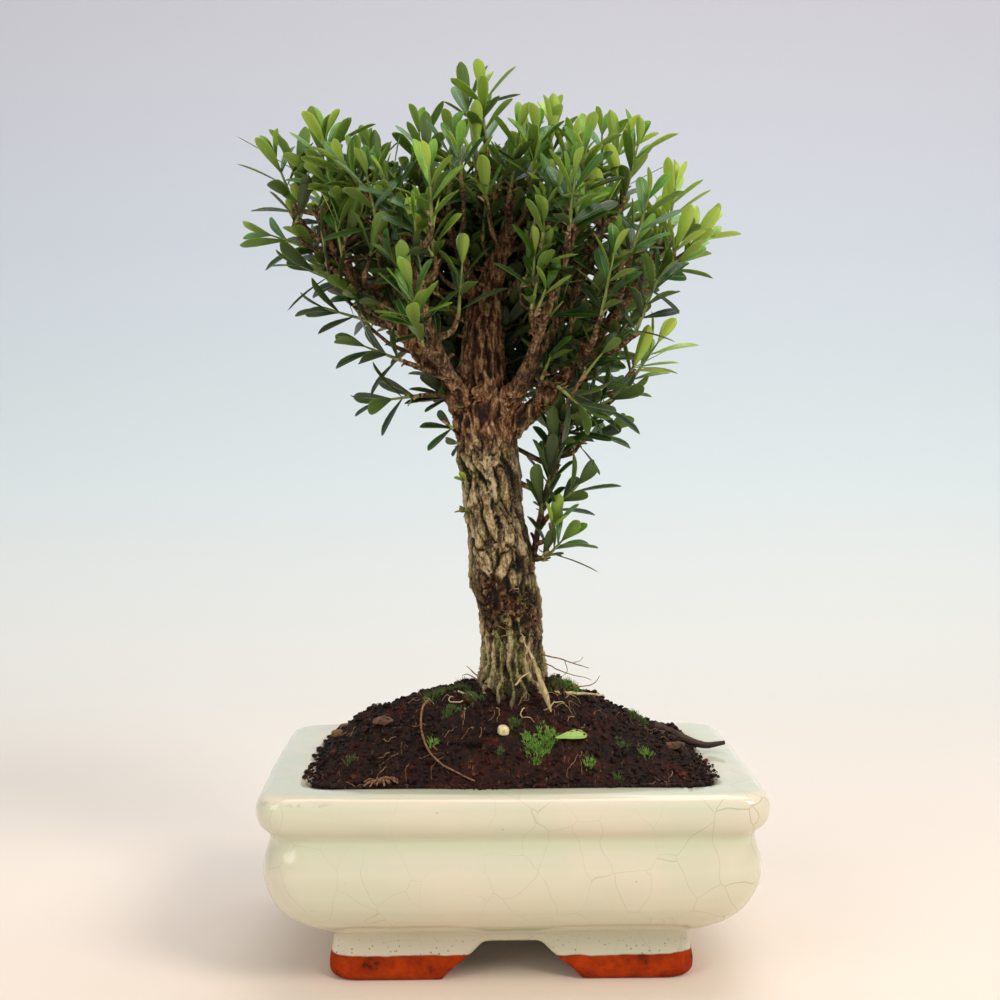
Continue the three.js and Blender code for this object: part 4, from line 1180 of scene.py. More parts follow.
@dataclass
class Wood:
    """The grown wood: trunk with its root flare, forks, branches and every twig.

    Trunk rows give the height, the middle's x and y, and the radius. A branch that grows thinner
    than thick belongs to the twigs from there on. Girth is the radius on which the bark's plates
    are laid out. Burls give x, z and size, and the cavity x and z. The young, root and damp lines
    give the two heights between which the bark changes.
    """

    trunk_rows: list = field(default_factory=lambda: [
        (45.0, 0.0, 0.0, 8.6), (52.0, 0.0, 0.0, 12.0), (80.0, 0.8, 0.0, 11.8),
        (91.0, 1.0, 0.0, 11.0), (96.0, 0.8, 0.0, 10.1), (104.6, 0.4, 0.0, 9.7),
        (111.0, 0.0, 0.0, 9.7), (118.0, -0.9, 0.0, 10.3), (124.0, -2.0, 0.0, 10.4),
        (131.0, -2.5, 0.0, 10.3), (137.6, -3.6, 0.0, 9.8), (144.4, -4.9, 0.0, 9.3),
        (151.3, -5.6, 0.0, 9.2), (158.5, -6.3, 0.0, 9.4), (165.0, -7.2, 0.0, 9.6),
        (172.0, -7.6, 0.0, 9.8), (178.0, -8.3, 0.0, 10.2), (186.0, -9.0, 0.4, 8.6)])
    trunk_voxel: float = 0.49
    branch_voxel: float = 0.6
    thick: float = 2.6
    limb_taper: float = 0.8
    girth: float = 10.2
    burls: tuple = ((-12.0, 124.0, 0.6), (9.0, 118.0, 0.5), (-13.5, 137.0, 0.2),
                    (-14.5, 151.0, 0.4), (-16.5, 166.0, 0.7), (-18.0, 178.0, 1.2))
    cavity: tuple = (2.4, 131.0)
    roots: int = 11
    spur_count: int = 60
    plate_columns: int = 18
    plate_rows: int = 16
    plates_from: float = 88.0
    plate_pitch: float = 6.6
    young_line: tuple = (162, 180)
    root_line: tuple = (108, 97)
    damp_line: tuple = (94, 85)
    rotten_at: float = 118.0

    def trunk(self) -> bpy.types.Object:
        """Raise the trunk ring by ring from its buried stump to the fork."""
        start_fresh()
        z, x, y, radius = self.trunk_rows[0]
        bpy.ops.mesh.primitive_circle_add(vertices=36, radius=radius, fill_type="NGON",
                                          location=(x, y, z))
        bpy.ops.object.transform_apply(location=True)
        trunk = bpy.context.object
        start_edit()
        for low, high in zip(self.trunk_rows, self.trunk_rows[1:]):
            move = (high[1] - low[1], high[2] - low[2], high[0] - low[0])
            bpy.ops.mesh.extrude_region_move(TRANSFORM_OT_translate={"value": move})
            grow = high[3] / low[3]
            bpy.ops.transform.resize(value=(grow, grow, 1),
                                     center_override=(high[1], high[2], high[0]))
        end_edit()
        return trunk

    def root_flare(self) -> list:
        """Return the root ridges that run down the foot of the trunk into the soil."""
        lines = []
        for i in range(self.roots):
            angle = 2 * math.pi * (i + 0.6 * draw(300, i, 0)) / self.roots
            out = outward(angle)
            high = 100 + 9 * draw(300, i, 1)
            far = 11.6 + 2.2 * draw(300, i, 2)
            bend = angle + 0.25 * (draw(300, i, 3) - 0.5)
            low_out = outward(bend)
            way = (out * 8.7 + (0.3, 0, high), out * 9.8 + (0.7, 0, 94),
                   low_out * far + (1.0, 0, 87), low_out * (far + 1.5) + (1.0, 0, 80))
            lines.append((curve_points(way, 12), spread((0.9, 1.4, 1.5, 0.9), 12)))
        return lines

    def stubs(self) -> list:
        """Return the short stubs of cut twigs on the trunk and the leader."""
        lines = []
        for angle, z, out, radius in (
                (-100, 183, 9.5, 1.9), (-55, 176, 10.5, 1.5), (-85, 212, 6.8, 1.3),
                (-150, 192, 8.0, 1.4), (70, 188, 8.6, 1.6), (-120, 228, 4.4, 1.0)):
            way = outward(math.radians(angle), 0.5)
            start = np.array([-8.8, 0, z]) + way * (out - 2)
            lines.append((np.array([start, start + way * 2.2, start + way * 3.6]),
                          np.array([radius * 1.3, radius, radius])))
        return lines

    def spurs(self) -> list:
        """Return the short dead ends of cut twigs all along the branches."""
        lines = []
        for number in range(self.spur_count):
            d = draws(800 + number, 0, 7)
            branch = BRANCHES[int(d[0] * len(BRANCHES))]
            line, radii = branch.line(20)
            at = 5 + int(d[1] * 15)
            way = outward(2 * math.pi * d[2], 0.3 + d[3])
            way /= np.linalg.norm(way)
            end = line[at] + way * (radii[at] + 1.0 + 3.5 * d[4])
            middle = (line[at] + end) / 2 + (0, 0, 0.6)
            lines.append((np.array([line[at], middle, end]),
                          (0.45 + 0.4 * d[5]) * np.array([1.2, 1.0, 0.85])))
        return lines

    def parted(self) -> tuple[list, list]:
        """Split each branch where it grows thin, and return the thick and the thin lines."""
        steps = 48
        thick, thin = [], []
        for branch in BRANCHES:
            line, radii = branch.line(steps)
            if branch is not BRANCHES[0]:
                radii = radii * np.linspace(1.0, self.limb_taper, steps + 1)
            part = int(np.argmax(radii < self.thick)) if (radii < self.thick).any() else steps
            if part > 3:
                end = min(part + 1, steps)
                thick.append((line[:end + 1], radii[:end + 1]))
            thin.append((line[max(part - 1, 0):], radii[max(part - 1, 0):]))
        return thick, thin

    def plates(self, turn: np.ndarray, z: np.ndarray) -> tuple[np.ndarray, np.ndarray]:
        """Lay overlapping corky plates round the trunk, each lifted at its lower end.

        Args:
            turn: the angle of each point about the trunk's middle.
            z: its height.

        Returns:
            For each point the height of the topmost plate, 0 in a fissure and about 1 on a
            high plate, and that plate's own shade from 0 to 1.
        """
        columns, rows = self.plate_columns, self.plate_rows
        best, shade = np.zeros(len(z)), np.full(len(z), 0.5)
        drawn = [draws(500 + i // rows, i % rows, 8) for i in range(columns * rows)]
        # The lowest plates come first, and each later one covers what lies under it
        for number in sorted(range(columns * rows), key=lambda i: drawn[i][5]):
            column, row = divmod(number, rows)
            d = drawn[number]
            middle = 2 * math.pi * (column + 0.5 * (row % 2) + 0.7 * (d[0] - 0.5)) / columns
            level = self.plates_from + self.plate_pitch * row + 6.0 * (d[1] - 0.5)
            across = ((turn - middle + math.pi) % (2 * math.pi) - math.pi) * self.girth
            up = z - level
            tilt = 0.12 + 0.85 * (d[2] - 0.5)
            c, s = math.cos(tilt), math.sin(tilt)
            along, aside = c * up - s * across, s * up + c * across
            half_length, half_width = 5.0 + 6.5 * d[3], 1.25 + 0.95 * d[4]
            away = np.abs(along / half_length) ** 3.0 + np.abs(aside / half_width) ** 2.2
            cover = away < 1
            level = 0.5 + 0.45 * d[5] - 0.16 * along[cover] / half_length
            best[cover] = level * (0.25 + 0.75 * (1 - rise(0.4, 1.0, away[cover])))
            shade[cover] = d[6]
        return best, shade

    def zones(self, points: np.ndarray, wide: np.ndarray,
              tight: np.ndarray) -> tuple[np.ndarray, ...]:
        """Part the wood into zones with uneven edges.

        Args:
            points: the wood's points.
            wide: three slow noises at each point.
            tight: three quick ones.

        Returns:
            The shares of young wood, of the trunk's front, of the crumbly patch that lies there
            and of the foot above the roots.
        """
        x, y, z = points.T
        young = rise(*self.young_line, z + 11 * wide[:, 2] + 4 * tight[:, 0])
        front = rise(2.0, -6.0, y + 6 * wide[:, 1])
        band = np.abs(z - self.rotten_at + 9 * wide[:, 0] + 3 * tight[:, 1])
        patch = rise(13.0, 6.0, band) * front * rise(-0.75, -0.05, wide[:, 2] + tight[:, 0])
        patch *= rise(-12.5, -8.5, x + 4 * tight[:, 1])
        base = rise(*self.root_line, z + 5 * wide[:, 2])
        return young, front, patch, base

    def bark(self, piece: bpy.types.Object) -> None:
        """Raise corky plates, crumbs, flutes and fibres, and store what their colours need."""
        points = points_of(piece)
        x, y, z = points.T
        wide = noises(points, 9, 11, 2)
        tight = noises(points, (2.0, 2.0, 3.6), 14, 3)
        heights, middles = [row[0] for row in self.trunk_rows], [row[1] for row in self.trunk_rows]
        turn = np.arctan2(y, x - np.interp(z, heights, middles))
        bent_turn = turn + (2.0 * wide[:, 0] + 0.9 * tight[:, 0]) / self.girth
        bent_z = z + 4.5 * wide[:, 2] + 2.2 * tight[:, 2]
        plate, shade = self.plates(bent_turn, bent_z)
        grain = noise(points + 1.2 * wide, (0.95, 0.95, 6.0), 7, 2)
        crumble = noise(points, (1.1, 1.1, 1.6), 6, 2)
        strands = np.clip(1 - 2.4 * np.abs(noise(points + 3 * wide, (1.7, 1.7, 10.0), 8, 2)), 0, 1)
        young, front, patch, base = self.zones(points, wide, tight)
        flute = np.cos(9 * turn + 2.6 * wide[:, 1] + 0.8 * tight[:, 1] + 0.5)
        flute = 1 - np.abs(flute) ** 0.8
        corky = (1 - young) * (1 - patch) * (1 - 0.75 * base)
        rough = noise(points, (2.6, 2.6, 3.4), 9, 2)
        chips = noise(points + 2 * wide, (1.6, 1.6, 3.4), 23, 2)
        lift = corky * (2.2 * (plate - 0.42) + 0.42 * grain + 0.5 * chips)
        lift += patch * (1.7 * rough - 0.6) + base * (2.0 * flute - 0.9 + 0.9 * rough)
        lift += young * (1.2 * (strands - 0.62) + 0.4 * rough) + 0.35 * crumble
        bulge = 0.9 * noise(points, (11, 11, 16), 10)
        for burl_x, burl_z, size in self.burls:
            bulge += size * np.exp(-((x - burl_x) / 5) ** 2 - ((z - burl_z) / 5.5) ** 2)
        hole_x, hole_z = self.cavity
        hole = np.exp(-((x - hole_x) / 3.2) ** 2 - ((z - hole_z) / 1.8) ** 2) * front
        lift += bulge * rise(200, 170, z) - 2.4 * hole
        lift *= rise(46, 60, z)
        set_points(piece, points + normals_of(piece) * lift[:, None])
        # Colour height from the relief: partly the bark's own tone, partly painted shade in the
        # fissures and painted highlight on the plate tops; the cavity is darkened as painted shade
        ridge = corky * (1.02 * plate - 0.06) + patch * (0.26 + 0.5 * rough)
        ridge += base * (0.16 + 0.8 * flute + 0.35 * rough) * (1 - young)
        ridge += young * (0.1 + 0.64 * strands)
        ridge += 0.16 * crumble + 0.16 * grain + 0.2 * chips * corky - 0.5 * hole
        moss = noise(points, (4, 4, 6), 19, 2) + 0.6 * tight[:, 1] + 0.7 * base
        moss += 0.4 * rise(0.75, 0.3, plate) * corky - 0.35 * young + 0.25 * rise(150, 170, z)
        set_attribute(piece, "ridge", np.clip(ridge, 0, 1))
        set_attribute(piece, "shade", shade)
        set_attribute(piece, "mossy", rise(0.15, 0.75, moss))
        set_attribute(piece, "fibrous", np.clip(young + 0.85 * patch, 0, 1))
        set_attribute(piece, "damp", 0.65 * rise(*self.damp_line, z + 5 * wide[:, 0]))

    def crumbs(self, surface: np.ndarray) -> None:
        """Leave peat crumbs and fine roots clinging to the rotten patch of the trunk.

        Args:
            surface: the points of the finished bark.
        """
        rng = np.random.default_rng(31)
        x, y, z = surface.T
        near = np.flatnonzero((y < -4) & (np.abs(z - 116 + 0.35 * x) < 9) & (x > -9) & (x < 9))
        low = np.flatnonzero((y < 6) & (z > 84) & (z < 92))
        chosen = np.concatenate([rng.choice(near, 190), rng.choice(low, 70)])
        radii = rng.uniform(0.3, 0.85, len(chosen))
        piece = strewn("trunk_crumbs", surface[chosen], radii, rng)
        finish_piece(piece, "peat_on_the_trunk", [MoistPeat()])
        lines = []
        for start in rng.choice(near, 26):
            way = rng.normal(0, 1, 3) * (1, 0.25, 1) + (0, -0.25, -0.4)
            line = surface[start] + np.outer(np.linspace(0, rng.uniform(1.0, 2.2), 7), way)
            line += 0.5 * noises(line, 2, 95)
            lines.append((line, np.linspace(0.22, 0.1, 7)))
        roots = tubes("trunk_roots", lines, 0)
        smooth(roots)
        finish_piece(roots, "fine_roots_on_the_trunk", [BROWN_ROOT])

    def twig_bark(self, piece: bpy.types.Object) -> None:
        """Roughen thin branches and twigs, with rings where leaves have been."""
        points = points_of(piece)
        strands = np.clip(1 - np.abs(noise(points, (0.9, 0.9, 5.0), 17, 2)) * 2.2, 0, 1)
        rings = noise(points, (5, 5, 1.6), 18)
        lift = 0.22 * (strands - 0.6) + 0.14 * rings
        set_points(piece, points + normals_of(piece) * lift[:, None])
        set_attribute(piece, "ridge", np.clip(0.24 + 0.42 * strands + 0.12 * rings, 0, 1))
        set_attribute(piece, "shade", 0.5 + 0.5 * noise(points, 12, 20))
        set_attribute(piece, "mossy", rise(0.1, 0.7, noise(points, 7, 19, 2)) * 0.6)
        set_attribute(piece, "fibrous", np.clip(0.5 + 0.25 * rings, 0, 1))
        set_attribute(piece, "damp", np.zeros(len(points)))

    def build(self, extra: list[Shoot]) -> None:
        """Model the wood in two pieces, the thick and the thin.

        Args:
            extra: the further shoots of the crown, which need twigs as well.
        """
        thick, thin = self.parted()
        limbs = tubes("thick_wood", thick + self.root_flare() + self.stubs(), 4)
        trunk = join([self.trunk(), limbs])
        apply_modifier(trunk, "REMESH", mode="VOXEL", voxel_size=self.trunk_voxel)
        apply_modifier(trunk, "SMOOTH", factor=0.5, iterations=5)
        self.bark(trunk)
        self.crumbs(points_of(trunk))
        smooth(trunk)
        finish_piece(trunk, "trunk_with_bark", [CorkyBark()],
                     ("trunk_and_branches",))
        twigs = tubes("thin_wood", thin + [twig_line(shoot, STEEP) for shoot in SHOOTS], 1)
        apply_modifier(twigs, "REMESH", mode="VOXEL", voxel_size=self.branch_voxel)
        apply_modifier(twigs, "SMOOTH", factor=0.4, iterations=2)
        lines = [(line[::2], radii[::2] * 0.68)
                 for line, radii in (twig_line(shoot, STEEP) for shoot in extra
                                     if not shoot.name.startswith("trunk_"))]
        lines += self.spurs()
        twigs = join([twigs, tubes("further_twigs", lines, 1)])
        self.twig_bark(twigs)
        smooth(twigs)
        finish_piece(twigs, "branches_and_twigs", [CorkyBark()],
                     ("trunk_and_branches",))


# Leaves


# Bends tried for a crowded leaf: more lean off the stem, and a turn about it
BENDS = ((0, 0), (0.25, 0), (-0.2, 0), (0, 0.45), (0, -0.45), (0.3, 0.5), (0.3, -0.5),
         (-0.25, 0.4))
# A leaf's outline: places along it, and there its width as a share of the widest
OUTLINE = ((0.0, 0.12, 0.30, 0.48, 0.66, 0.82, 0.93, 1.0),
           (0.13, 0.30, 0.60, 0.87, 1.0, 0.94, 0.74, 0.40))


@dataclass(frozen=True)
class Blade:
    """A leaf that others are copied from, with rows of faces at the given places along it."""

    runs: tuple = OUTLINE[0]
    steps_across: int = 4

    def model(self) -> tuple[np.ndarray, np.ndarray]:
        """Model the flat leaf as two sheets that share their margin.

        Returns:
            Rows of run, side and face (1 top, -1 below, 0 margin), and the leaf's quads.
        """
        steps_along = len(self.runs) - 1
        start_fresh()
        bpy.ops.mesh.primitive_grid_add(x_subdivisions=steps_along,
                                        y_subdivisions=self.steps_across, size=2)
        leaf = bpy.context.object
        start_edit()
        bpy.ops.mesh.duplicate_move(TRANSFORM_OT_translate={"value": (0, 0, -1)})
        bpy.ops.mesh.flip_normals()
        bpy.ops.object.mode_set(mode="OBJECT")
        points = points_of(leaf)
        margin = np.max(np.abs(points[:, :2]), axis=1) > 0.999
        points[:, 2] = np.where(margin, 0, np.where(points[:, 2] > -0.5, 1, -1))
        set_points(leaf, points)
        start_edit()
        bpy.ops.mesh.remove_doubles(threshold=0.001)
        bpy.ops.object.mode_set(mode="OBJECT")
        rows, quads = pattern_of(leaf)
        step = (rows[:, 0] + 1) / 2 * steps_along
        rows[:, 0] = np.interp(step, range(steps_along + 1), self.runs)
        return rows, np.array(quads)


@dataclass
class Room:
    """A grid of 1 mm cells over the crown that remembers where wood and leaves already are."""

    low: tuple = (-100.0, -75.0, 110.0)
    cells: tuple = (200, 150, 200)

    def __post_init__(self) -> None:
        """Start with every cell free."""
        self.taken = np.zeros(self.cells, bool)

    def places(self, points: np.ndarray) -> tuple:
        """Return the cells that hold the points."""
        index = np.clip(np.floor(points - self.low).astype(int), 0, np.array(self.cells) - 1)
        return index[:, 0], index[:, 1], index[:, 2]

    def mark(self, points: np.ndarray) -> None:
        """Take the cells that hold the points."""
        self.taken[self.places(points)] = True

    def crowding(self, points: np.ndarray) -> int:
        """Return how many of the points fall into taken cells."""
        return int(self.taken[self.places(points)].sum())


@dataclass
class Foliage:
    """Leafy shoots: the named ones, and further ones that fill the crown along the branches.

    Spacing is that of the further shoots, and crowding counts a leaf's test points that may lie
    in taken cells. Under the side branch's top all shoots belong to that branch.
    """

    pair_spacing: float = 5.2
    leaf_reach: float = 10.0
    leaf_length: float = 15.4
    leaf_width: float = 4.35
    leaf_thickness: float = 0.34
    stem_radii: tuple = (0.68, 0.5, 0.32)
    far_runs: tuple = (0.0, 0.24, 0.5, 0.72, 0.87, 0.96, 1.0)
    longest_placed: float = 15.0
    widest_placed: float = 4.9
    spacing: float = 11.2
    deep_shoots: int = 130
    side_branch_top: float = 176.0
    crowding_tuft: int = 30
    crowding_named: int = 20
    crowding_back: int = 12
    crowding_front: int = 6
    fewest_leaves: int = 4
    shoots_per_piece: int = 60
    room: Room = field(default_factory=Room)
    view: Room = field(default_factory=Room)

    def __post_init__(self) -> None:
        """Model the leaf, and one with fewer faces for the many in the crown."""
        self.fine = Blade().model()
        self.plain = Blade(self.far_runs, 2).model()
        self.low = (np.array(CAD_BOX[0]) - POT_MIDDLE) / MM + 0.2
        self.high = (np.array(CAD_BOX[1]) - POT_MIDDLE) / MM - 0.2

    def leaves_of(self, index: int, shoot: Shoot) -> list[dict]:
        """Return places and turns of a shoot's leaves, by the same rule as its solid.

        Args:
            index: the shoot's number, which fixes its random draws.
            shoot: the shoot.

        Returns:
            One dictionary for each leaf.
        """
        way = shoot.direction
        if shoot.tips:
            return [self.placed_leaf(index, shoot, slot) for slot in range(len(shoot.tips))]
        stem = shoot.length - self.leaf_reach
        pairs = max(3, math.floor(stem / self.pair_spacing + 0.5))
        side = np.array([way[1] + 0.03, -way[0] + 0.02, 0.0])
        side -= way * float(side @ way)
        side /= np.linalg.norm(side)
        other = np.cross(way, side)
        turn = 2 * math.pi * draw(index, 0, 0)
        leaves = []
        for slot in range(2 * pairs + 2):
            pair, half = divmod(slot, 2)
            up, last = pair / pairs, pair == pairs
            wander = [2 * d - 1 for d in draws(index, slot, 10)]
            angle = turn + (pair + 2 * half) * math.pi / 2 + 0.3 * wander[1]
            steep = 0.3 if last else 0.5
            loose = {"FRESH": 0.75, "YOUNG": 0.95}.get(shoot.tone.name, 1.15)
            size = 0.9 if shoot.name.startswith("crown_") and index >= 1000 else 1.0
            low, high = shoot.tone.value
            leaves.append({
                "root": np.array(shoot.foot) + way * (1.6 + up * (stem - 1.8)),
                "way": way,
                "out": side * math.cos(angle) + other * math.sin(angle),
                "lean": loose + (steep - loose) * up + 0.16 * wander[2],
                "length": (self.leaf_reach * (1 + 0.05 * wander[3]) if last
                           else self.leaf_length * size * (1 + 0.18 * wander[3])),
                "width": self.leaf_width * size * (1 + 0.12 * wander[4]) * (0.85 if last else 1),
                "arch": 0.07 + 0.05 * wander[5],
                "skew": 0.25 * wander[6],
                "cup": 0.28 + 0.3 * wander[7],
                "sweep": 0.1 * wander[8],
                "tone": low + (high - low) * up ** 1.2 + 0.12 * wander[9],
            })
        return leaves

    def placed_leaf(self, index: int, shoot: Shoot, slot: int) -> dict:
        """Return the place and turn of the leaf that reaches to one of a tuft's tips.

        Args:
            index: the tuft's number, which fixes its random draws.
            shoot: the tuft.
            slot: which tip.

        Returns:
            The leaf.
        """
        wander = [2 * d - 1 for d in draws(index, slot, 6)]
        way, foot = shoot.direction, np.array(shoot.foot, float)
        tip = np.array(shoot.tips[slot], float)
        stem = max(0.0, shoot.length - self.leaf_length)
        ahead = float((tip - foot) @ way)
        aside = float(np.linalg.norm(tip - foot - way * ahead))
        back = math.sqrt(max(self.longest_placed ** 2 - aside ** 2, 9.0))
        root = foot + way * max(0.4, min(stem, ahead - back))
        reach = float(np.linalg.norm(tip - root))
        along = (tip - root) / reach
        out = along - way * float(along @ way)
        if np.linalg.norm(out) < 0.15:
            out = np.array([0.3 * wander[0], -1.0, 0.1])
            out -= way * float(out @ way)
        low, high = shoot.tone.value
        width = min(self.widest_placed, 1.4 + 0.2 * reach) * (1 + 0.08 * wander[1])
        return {"root": root, "way": way, "out": out / np.linalg.norm(out),
                "lean": math.acos(max(-1.0, min(1.0, float(along @ way)))),
                "length": reach, "width": width,
                "arch": 0.05 + 0.03 * wander[2], "skew": 0.3 * wander[3],
                "cup": 0.35 + 0.3 * wander[4], "sweep": 0.05 * wander[5],
                "tone": low + (high - low) * (0.6 + 0.4 * wander[1])}

    def aim(self, leaf: dict, bend: tuple) -> dict:
        """Set a leaf's axes from its lean off the stem, bent by some extra lean and turn."""
        extra_lean, extra_turn = bend
        way, out = leaf["way"], leaf["out"]
        out = out * math.cos(extra_turn) + np.cross(way, out) * math.sin(extra_turn)
        lean = leaf["lean"] + extra_lean
        along = way * math.cos(lean) + out * math.sin(lean)
        face = way * math.sin(lean) - out * math.cos(lean)
        across = np.cross(face, along)
        c, s = math.cos(leaf["skew"]), math.sin(leaf["skew"])
        return {**leaf, "along": along, "across": across * c + np.cross(along, across) * s,
                "face": face * c + np.cross(along, face) * s}

    def shape(self, leaf: dict, rows: np.ndarray) -> np.ndarray:
        """Return the places of a leaf's rows of run, side and face, in millimetres."""
        run, side, top = rows.T
        length, half = leaf["length"], leaf["width"] / 2
        width = np.interp(run, *OUTLINE)
        round_end = 0.035 * side ** 2 * rise(0.8, 1.0, run)
        reach = (run - round_end) * length
        cup = leaf["cup"] * half * width * np.abs(side) ** 1.5
        rib = -0.10 * np.exp(-(side / 0.2) ** 2) * top
        thick = self.leaf_thickness / 2 * top * (1 - 0.5 * np.abs(side))
        lift = -leaf["arch"] * length * run ** 2 + cup + rib + thick
        sway = leaf["sweep"] * length * run ** 2
        return (leaf["root"] + leaf["along"] * reach[:, None]
                + leaf["across"] * (side * width * half + sway)[:, None]
                + leaf["face"] * lift[:, None])

    def settle(self, index: int, shoot: Shoot, most: int) -> list[dict]:
        """Choose for each leaf of a shoot a bend that keeps it clear of the rest.

        Args:
            index: the shoot's number.
            shoot: the shoot.
            most: how many of a leaf's test points may lie in taken cells.

        Returns:
            The leaves that stay.
        """
        grid = np.array([(u, v, 0) for u in (0.3, 0.45, 0.6, 0.75, 0.9, 1.0)
                         for v in (-0.9, -0.4, 0.0, 0.4, 0.9)])
        kept, cells = [], []
        for leaf in self.leaves_of(index, shoot):
            best = None
            for bend in BENDS:
                aimed = self.aim(leaf, bend)
                crowd = self.room.crowding(self.shape(aimed, grid))
                if best is None or crowd < best[0]:
                    best = (crowd, aimed)
                if crowd == 0:
                    break
            if best[0] <= most:
                kept.append(best[1])
                cells.append(self.shape(best[1], grid))
        for points in cells:
            self.room.mark(points)
        return kept

    def stem(self, shoot: Shoot) -> tuple[np.ndarray, np.ndarray]:
        """Return the points and radii of a shoot's green stem."""
        foot, way = np.array(shoot.foot, float), shoot.direction
        reach = max(2.0, shoot.length - (self.leaf_length if shoot.tips else self.leaf_reach))
        steps = 6
        line = np.array([foot + way * (0.1 + reach * i / steps) for i in range(steps + 1)])
        return line, spread(self.stem_radii, steps)

    def dress(self, name: str, leaves: list[dict], shoots: list[Shoot],
              nodes: tuple[str, ...] = (), blade: tuple | None = None,
              kind: object = WaxyLeaf()) -> None:
        """Copy the leaf to each place, add the stems, and finish them as one piece.

        Args:
            name: the piece's name.
            leaves: where the copies go.
            shoots: the shoots whose stems carry them.
            nodes: the solids that the piece stands for.
            blade: the leaf that is copied; the finer one where none is given.
            kind: the leaves' finish.
        """
        rows, faces = blade or self.fine
        count = len(rows)
        points = np.vstack([self.shape(leaf, rows) for leaf in leaves])
        quads = np.vstack([faces + count * i for i in range(len(leaves))])
        piece = mesh_object(name, np.clip(points, self.low, self.high), quads.tolist())
        uv = piece.data.uv_layers.new(name="leaf")
        corners = np.tile(rows[faces.ravel()][:, :2], (len(leaves), 1))
        uv.data.foreach_set("uv", corners.astype(np.float32).ravel())
        # Painted light and shade: leaves at the top right of the crown get a lighter tone where the
        # light falls, those at its lower left a darker one
        x, _, z = np.array([leaf["root"] for leaf in leaves]).T
        painted_light_and_shade = 0.17 * rise(-5, 45, x) * rise(235, 262, z)
        painted_light_and_shade -= 0.12 * rise(-8, -25, x) * rise(242, 228, z)
        tones = np.repeat([leaf["tone"] for leaf in leaves] + painted_light_and_shade, count)
        tones = tones - 0.10 * (1 - np.tile(rows[:, 0], len(leaves)))
        set_attribute(piece, "tone", np.clip(tones, 0, 1))
        below = rows[faces][:, :, 2].sum(axis=1) < 0
        set_attribute(piece, "under", np.tile(below, len(leaves)), "FACE")
        smooth(piece, 60)
        leaf_faces = len(piece.data.polygons)
        if shoots:
            stems = tubes(name + "_stems", [self.stem(shoot) for shoot in shoots], 1)
            smooth(stems)
            piece = join([piece, stems])
        finish_piece(piece, name, [kind, GREEN_STEM], nodes)
        index = np.zeros(len(piece.data.polygons), np.int32)
        index[leaf_faces:] = 1
        piece.data.polygons.foreach_set("material_index", index)

    def inside(self, point: np.ndarray, slack: float = 0.0) -> bool:
        """Return whether a point lies in the crown, or at most some slack outside it."""
        x, y, z = point
        heights, lefts, rights = zip(*CROWN)
        left, right = np.interp(z, heights, lefts), np.interp(z, heights, rights)
        middle, half = (left + right) / 2, (right - left) / 2 + slack
        deep = 0.62 * half + 6
        if any(a < x < b and c < z < d and y < 3 for a, b, c, d in OPEN_SKY):
            return False
        if z < heights[0] or abs(y) > 54 or (x - middle) ** 2 / half ** 2 + (y / deep) ** 2 > 1:
            return False
        return z < np.interp(x, *zip(*CROWN_TOP)) - 0.004 * y * y + slack

    def further_shoots(self) -> list[Shoot]:
        """Return shoots from an uneven lattice that fills the crown, darker deep inside."""
        low, high = np.array((-84.0, -54.0, 136.0)), np.array((74.0, 55.0, 286.0))
        counts = tuple(((high - low) / self.spacing).astype(int) + 1)
        places = []
        for number, cell in enumerate(np.ndindex(*counts)):
            d = draws(700 + number, 3, 8)
            places.append((low + (np.array(cell) + np.array(d[:3]) * 0.9) * self.spacing, d))
        for number in range(self.deep_shoots):
            d = draws(700 + number, 4, 8)
            behind = np.array((-28.0, 5.0, 184.0)) + np.array(d[:3]) * (46, 24, 62)
            places.append((behind, d))
        found = []
        for number, (place, d) in enumerate(places):
            side = place[2] < self.side_branch_top
            heart = np.array((8.0, 0.0, 138.0) if side else (-6.0, 0.0, 178.0))
            way = place - heart
            way = way / np.linalg.norm(way) * (0.9, 0.9, 0.6) + (0, 0, 0.45)
            way += 0.9 * (np.array(d[3:6]) - 0.5)
            way /= np.linalg.norm(way)
            tip = place + way * (17 + 7 * d[6])
            if not (self.inside(place) and self.inside(tip)):
                continue
            high_up = (tip[2] - self.side_branch_top) / 100
            outer = math.hypot((tip[0] + 8) / 75, tip[1] / 52)
            fresh = 0.5 * high_up + 0.35 * outer + 0.3 * d[7]
            tone = Tone.OLD if fresh < 0.68 or side or number >= math.prod(counts) else Tone.MID
            found.append(Shoot(f"crown_{number}", tuple(place), tuple(tip), tone))
        return found

    def mark_wood(self) -> None:
        """Remember where the branches and twigs are."""
        for branch in BRANCHES:
            line, radii = branch.line(60)
            for turn in range(8):
                ring = outward(turn * math.pi / 4)
                self.room.mark(line + radii[:, None] * 0.8 * ring)
        for shoot in SHOOTS:
            self.room.mark(twig_line(shoot, STEEP)[0])
            self.room.mark(self.stem(shoot)[0])

    def show_limbs(self) -> None:
        """Keep the view from the front on the main limbs free of further leaves."""
        for branch in BRANCHES[:5]:
            line, radii = branch.line(60)
            towards = np.array(EYE) - line
            towards /= np.linalg.norm(towards, axis=1)[:, None]
            for away in range(4, 56):
                for side in (-1, -0.5, 0, 0.5, 1):
                    shift = (side * (radii + 1.0))[:, None] * (1, 0, 0)
                    self.room.mark(line + towards * away + shift)
                    self.view.mark(line + towards * away + shift)

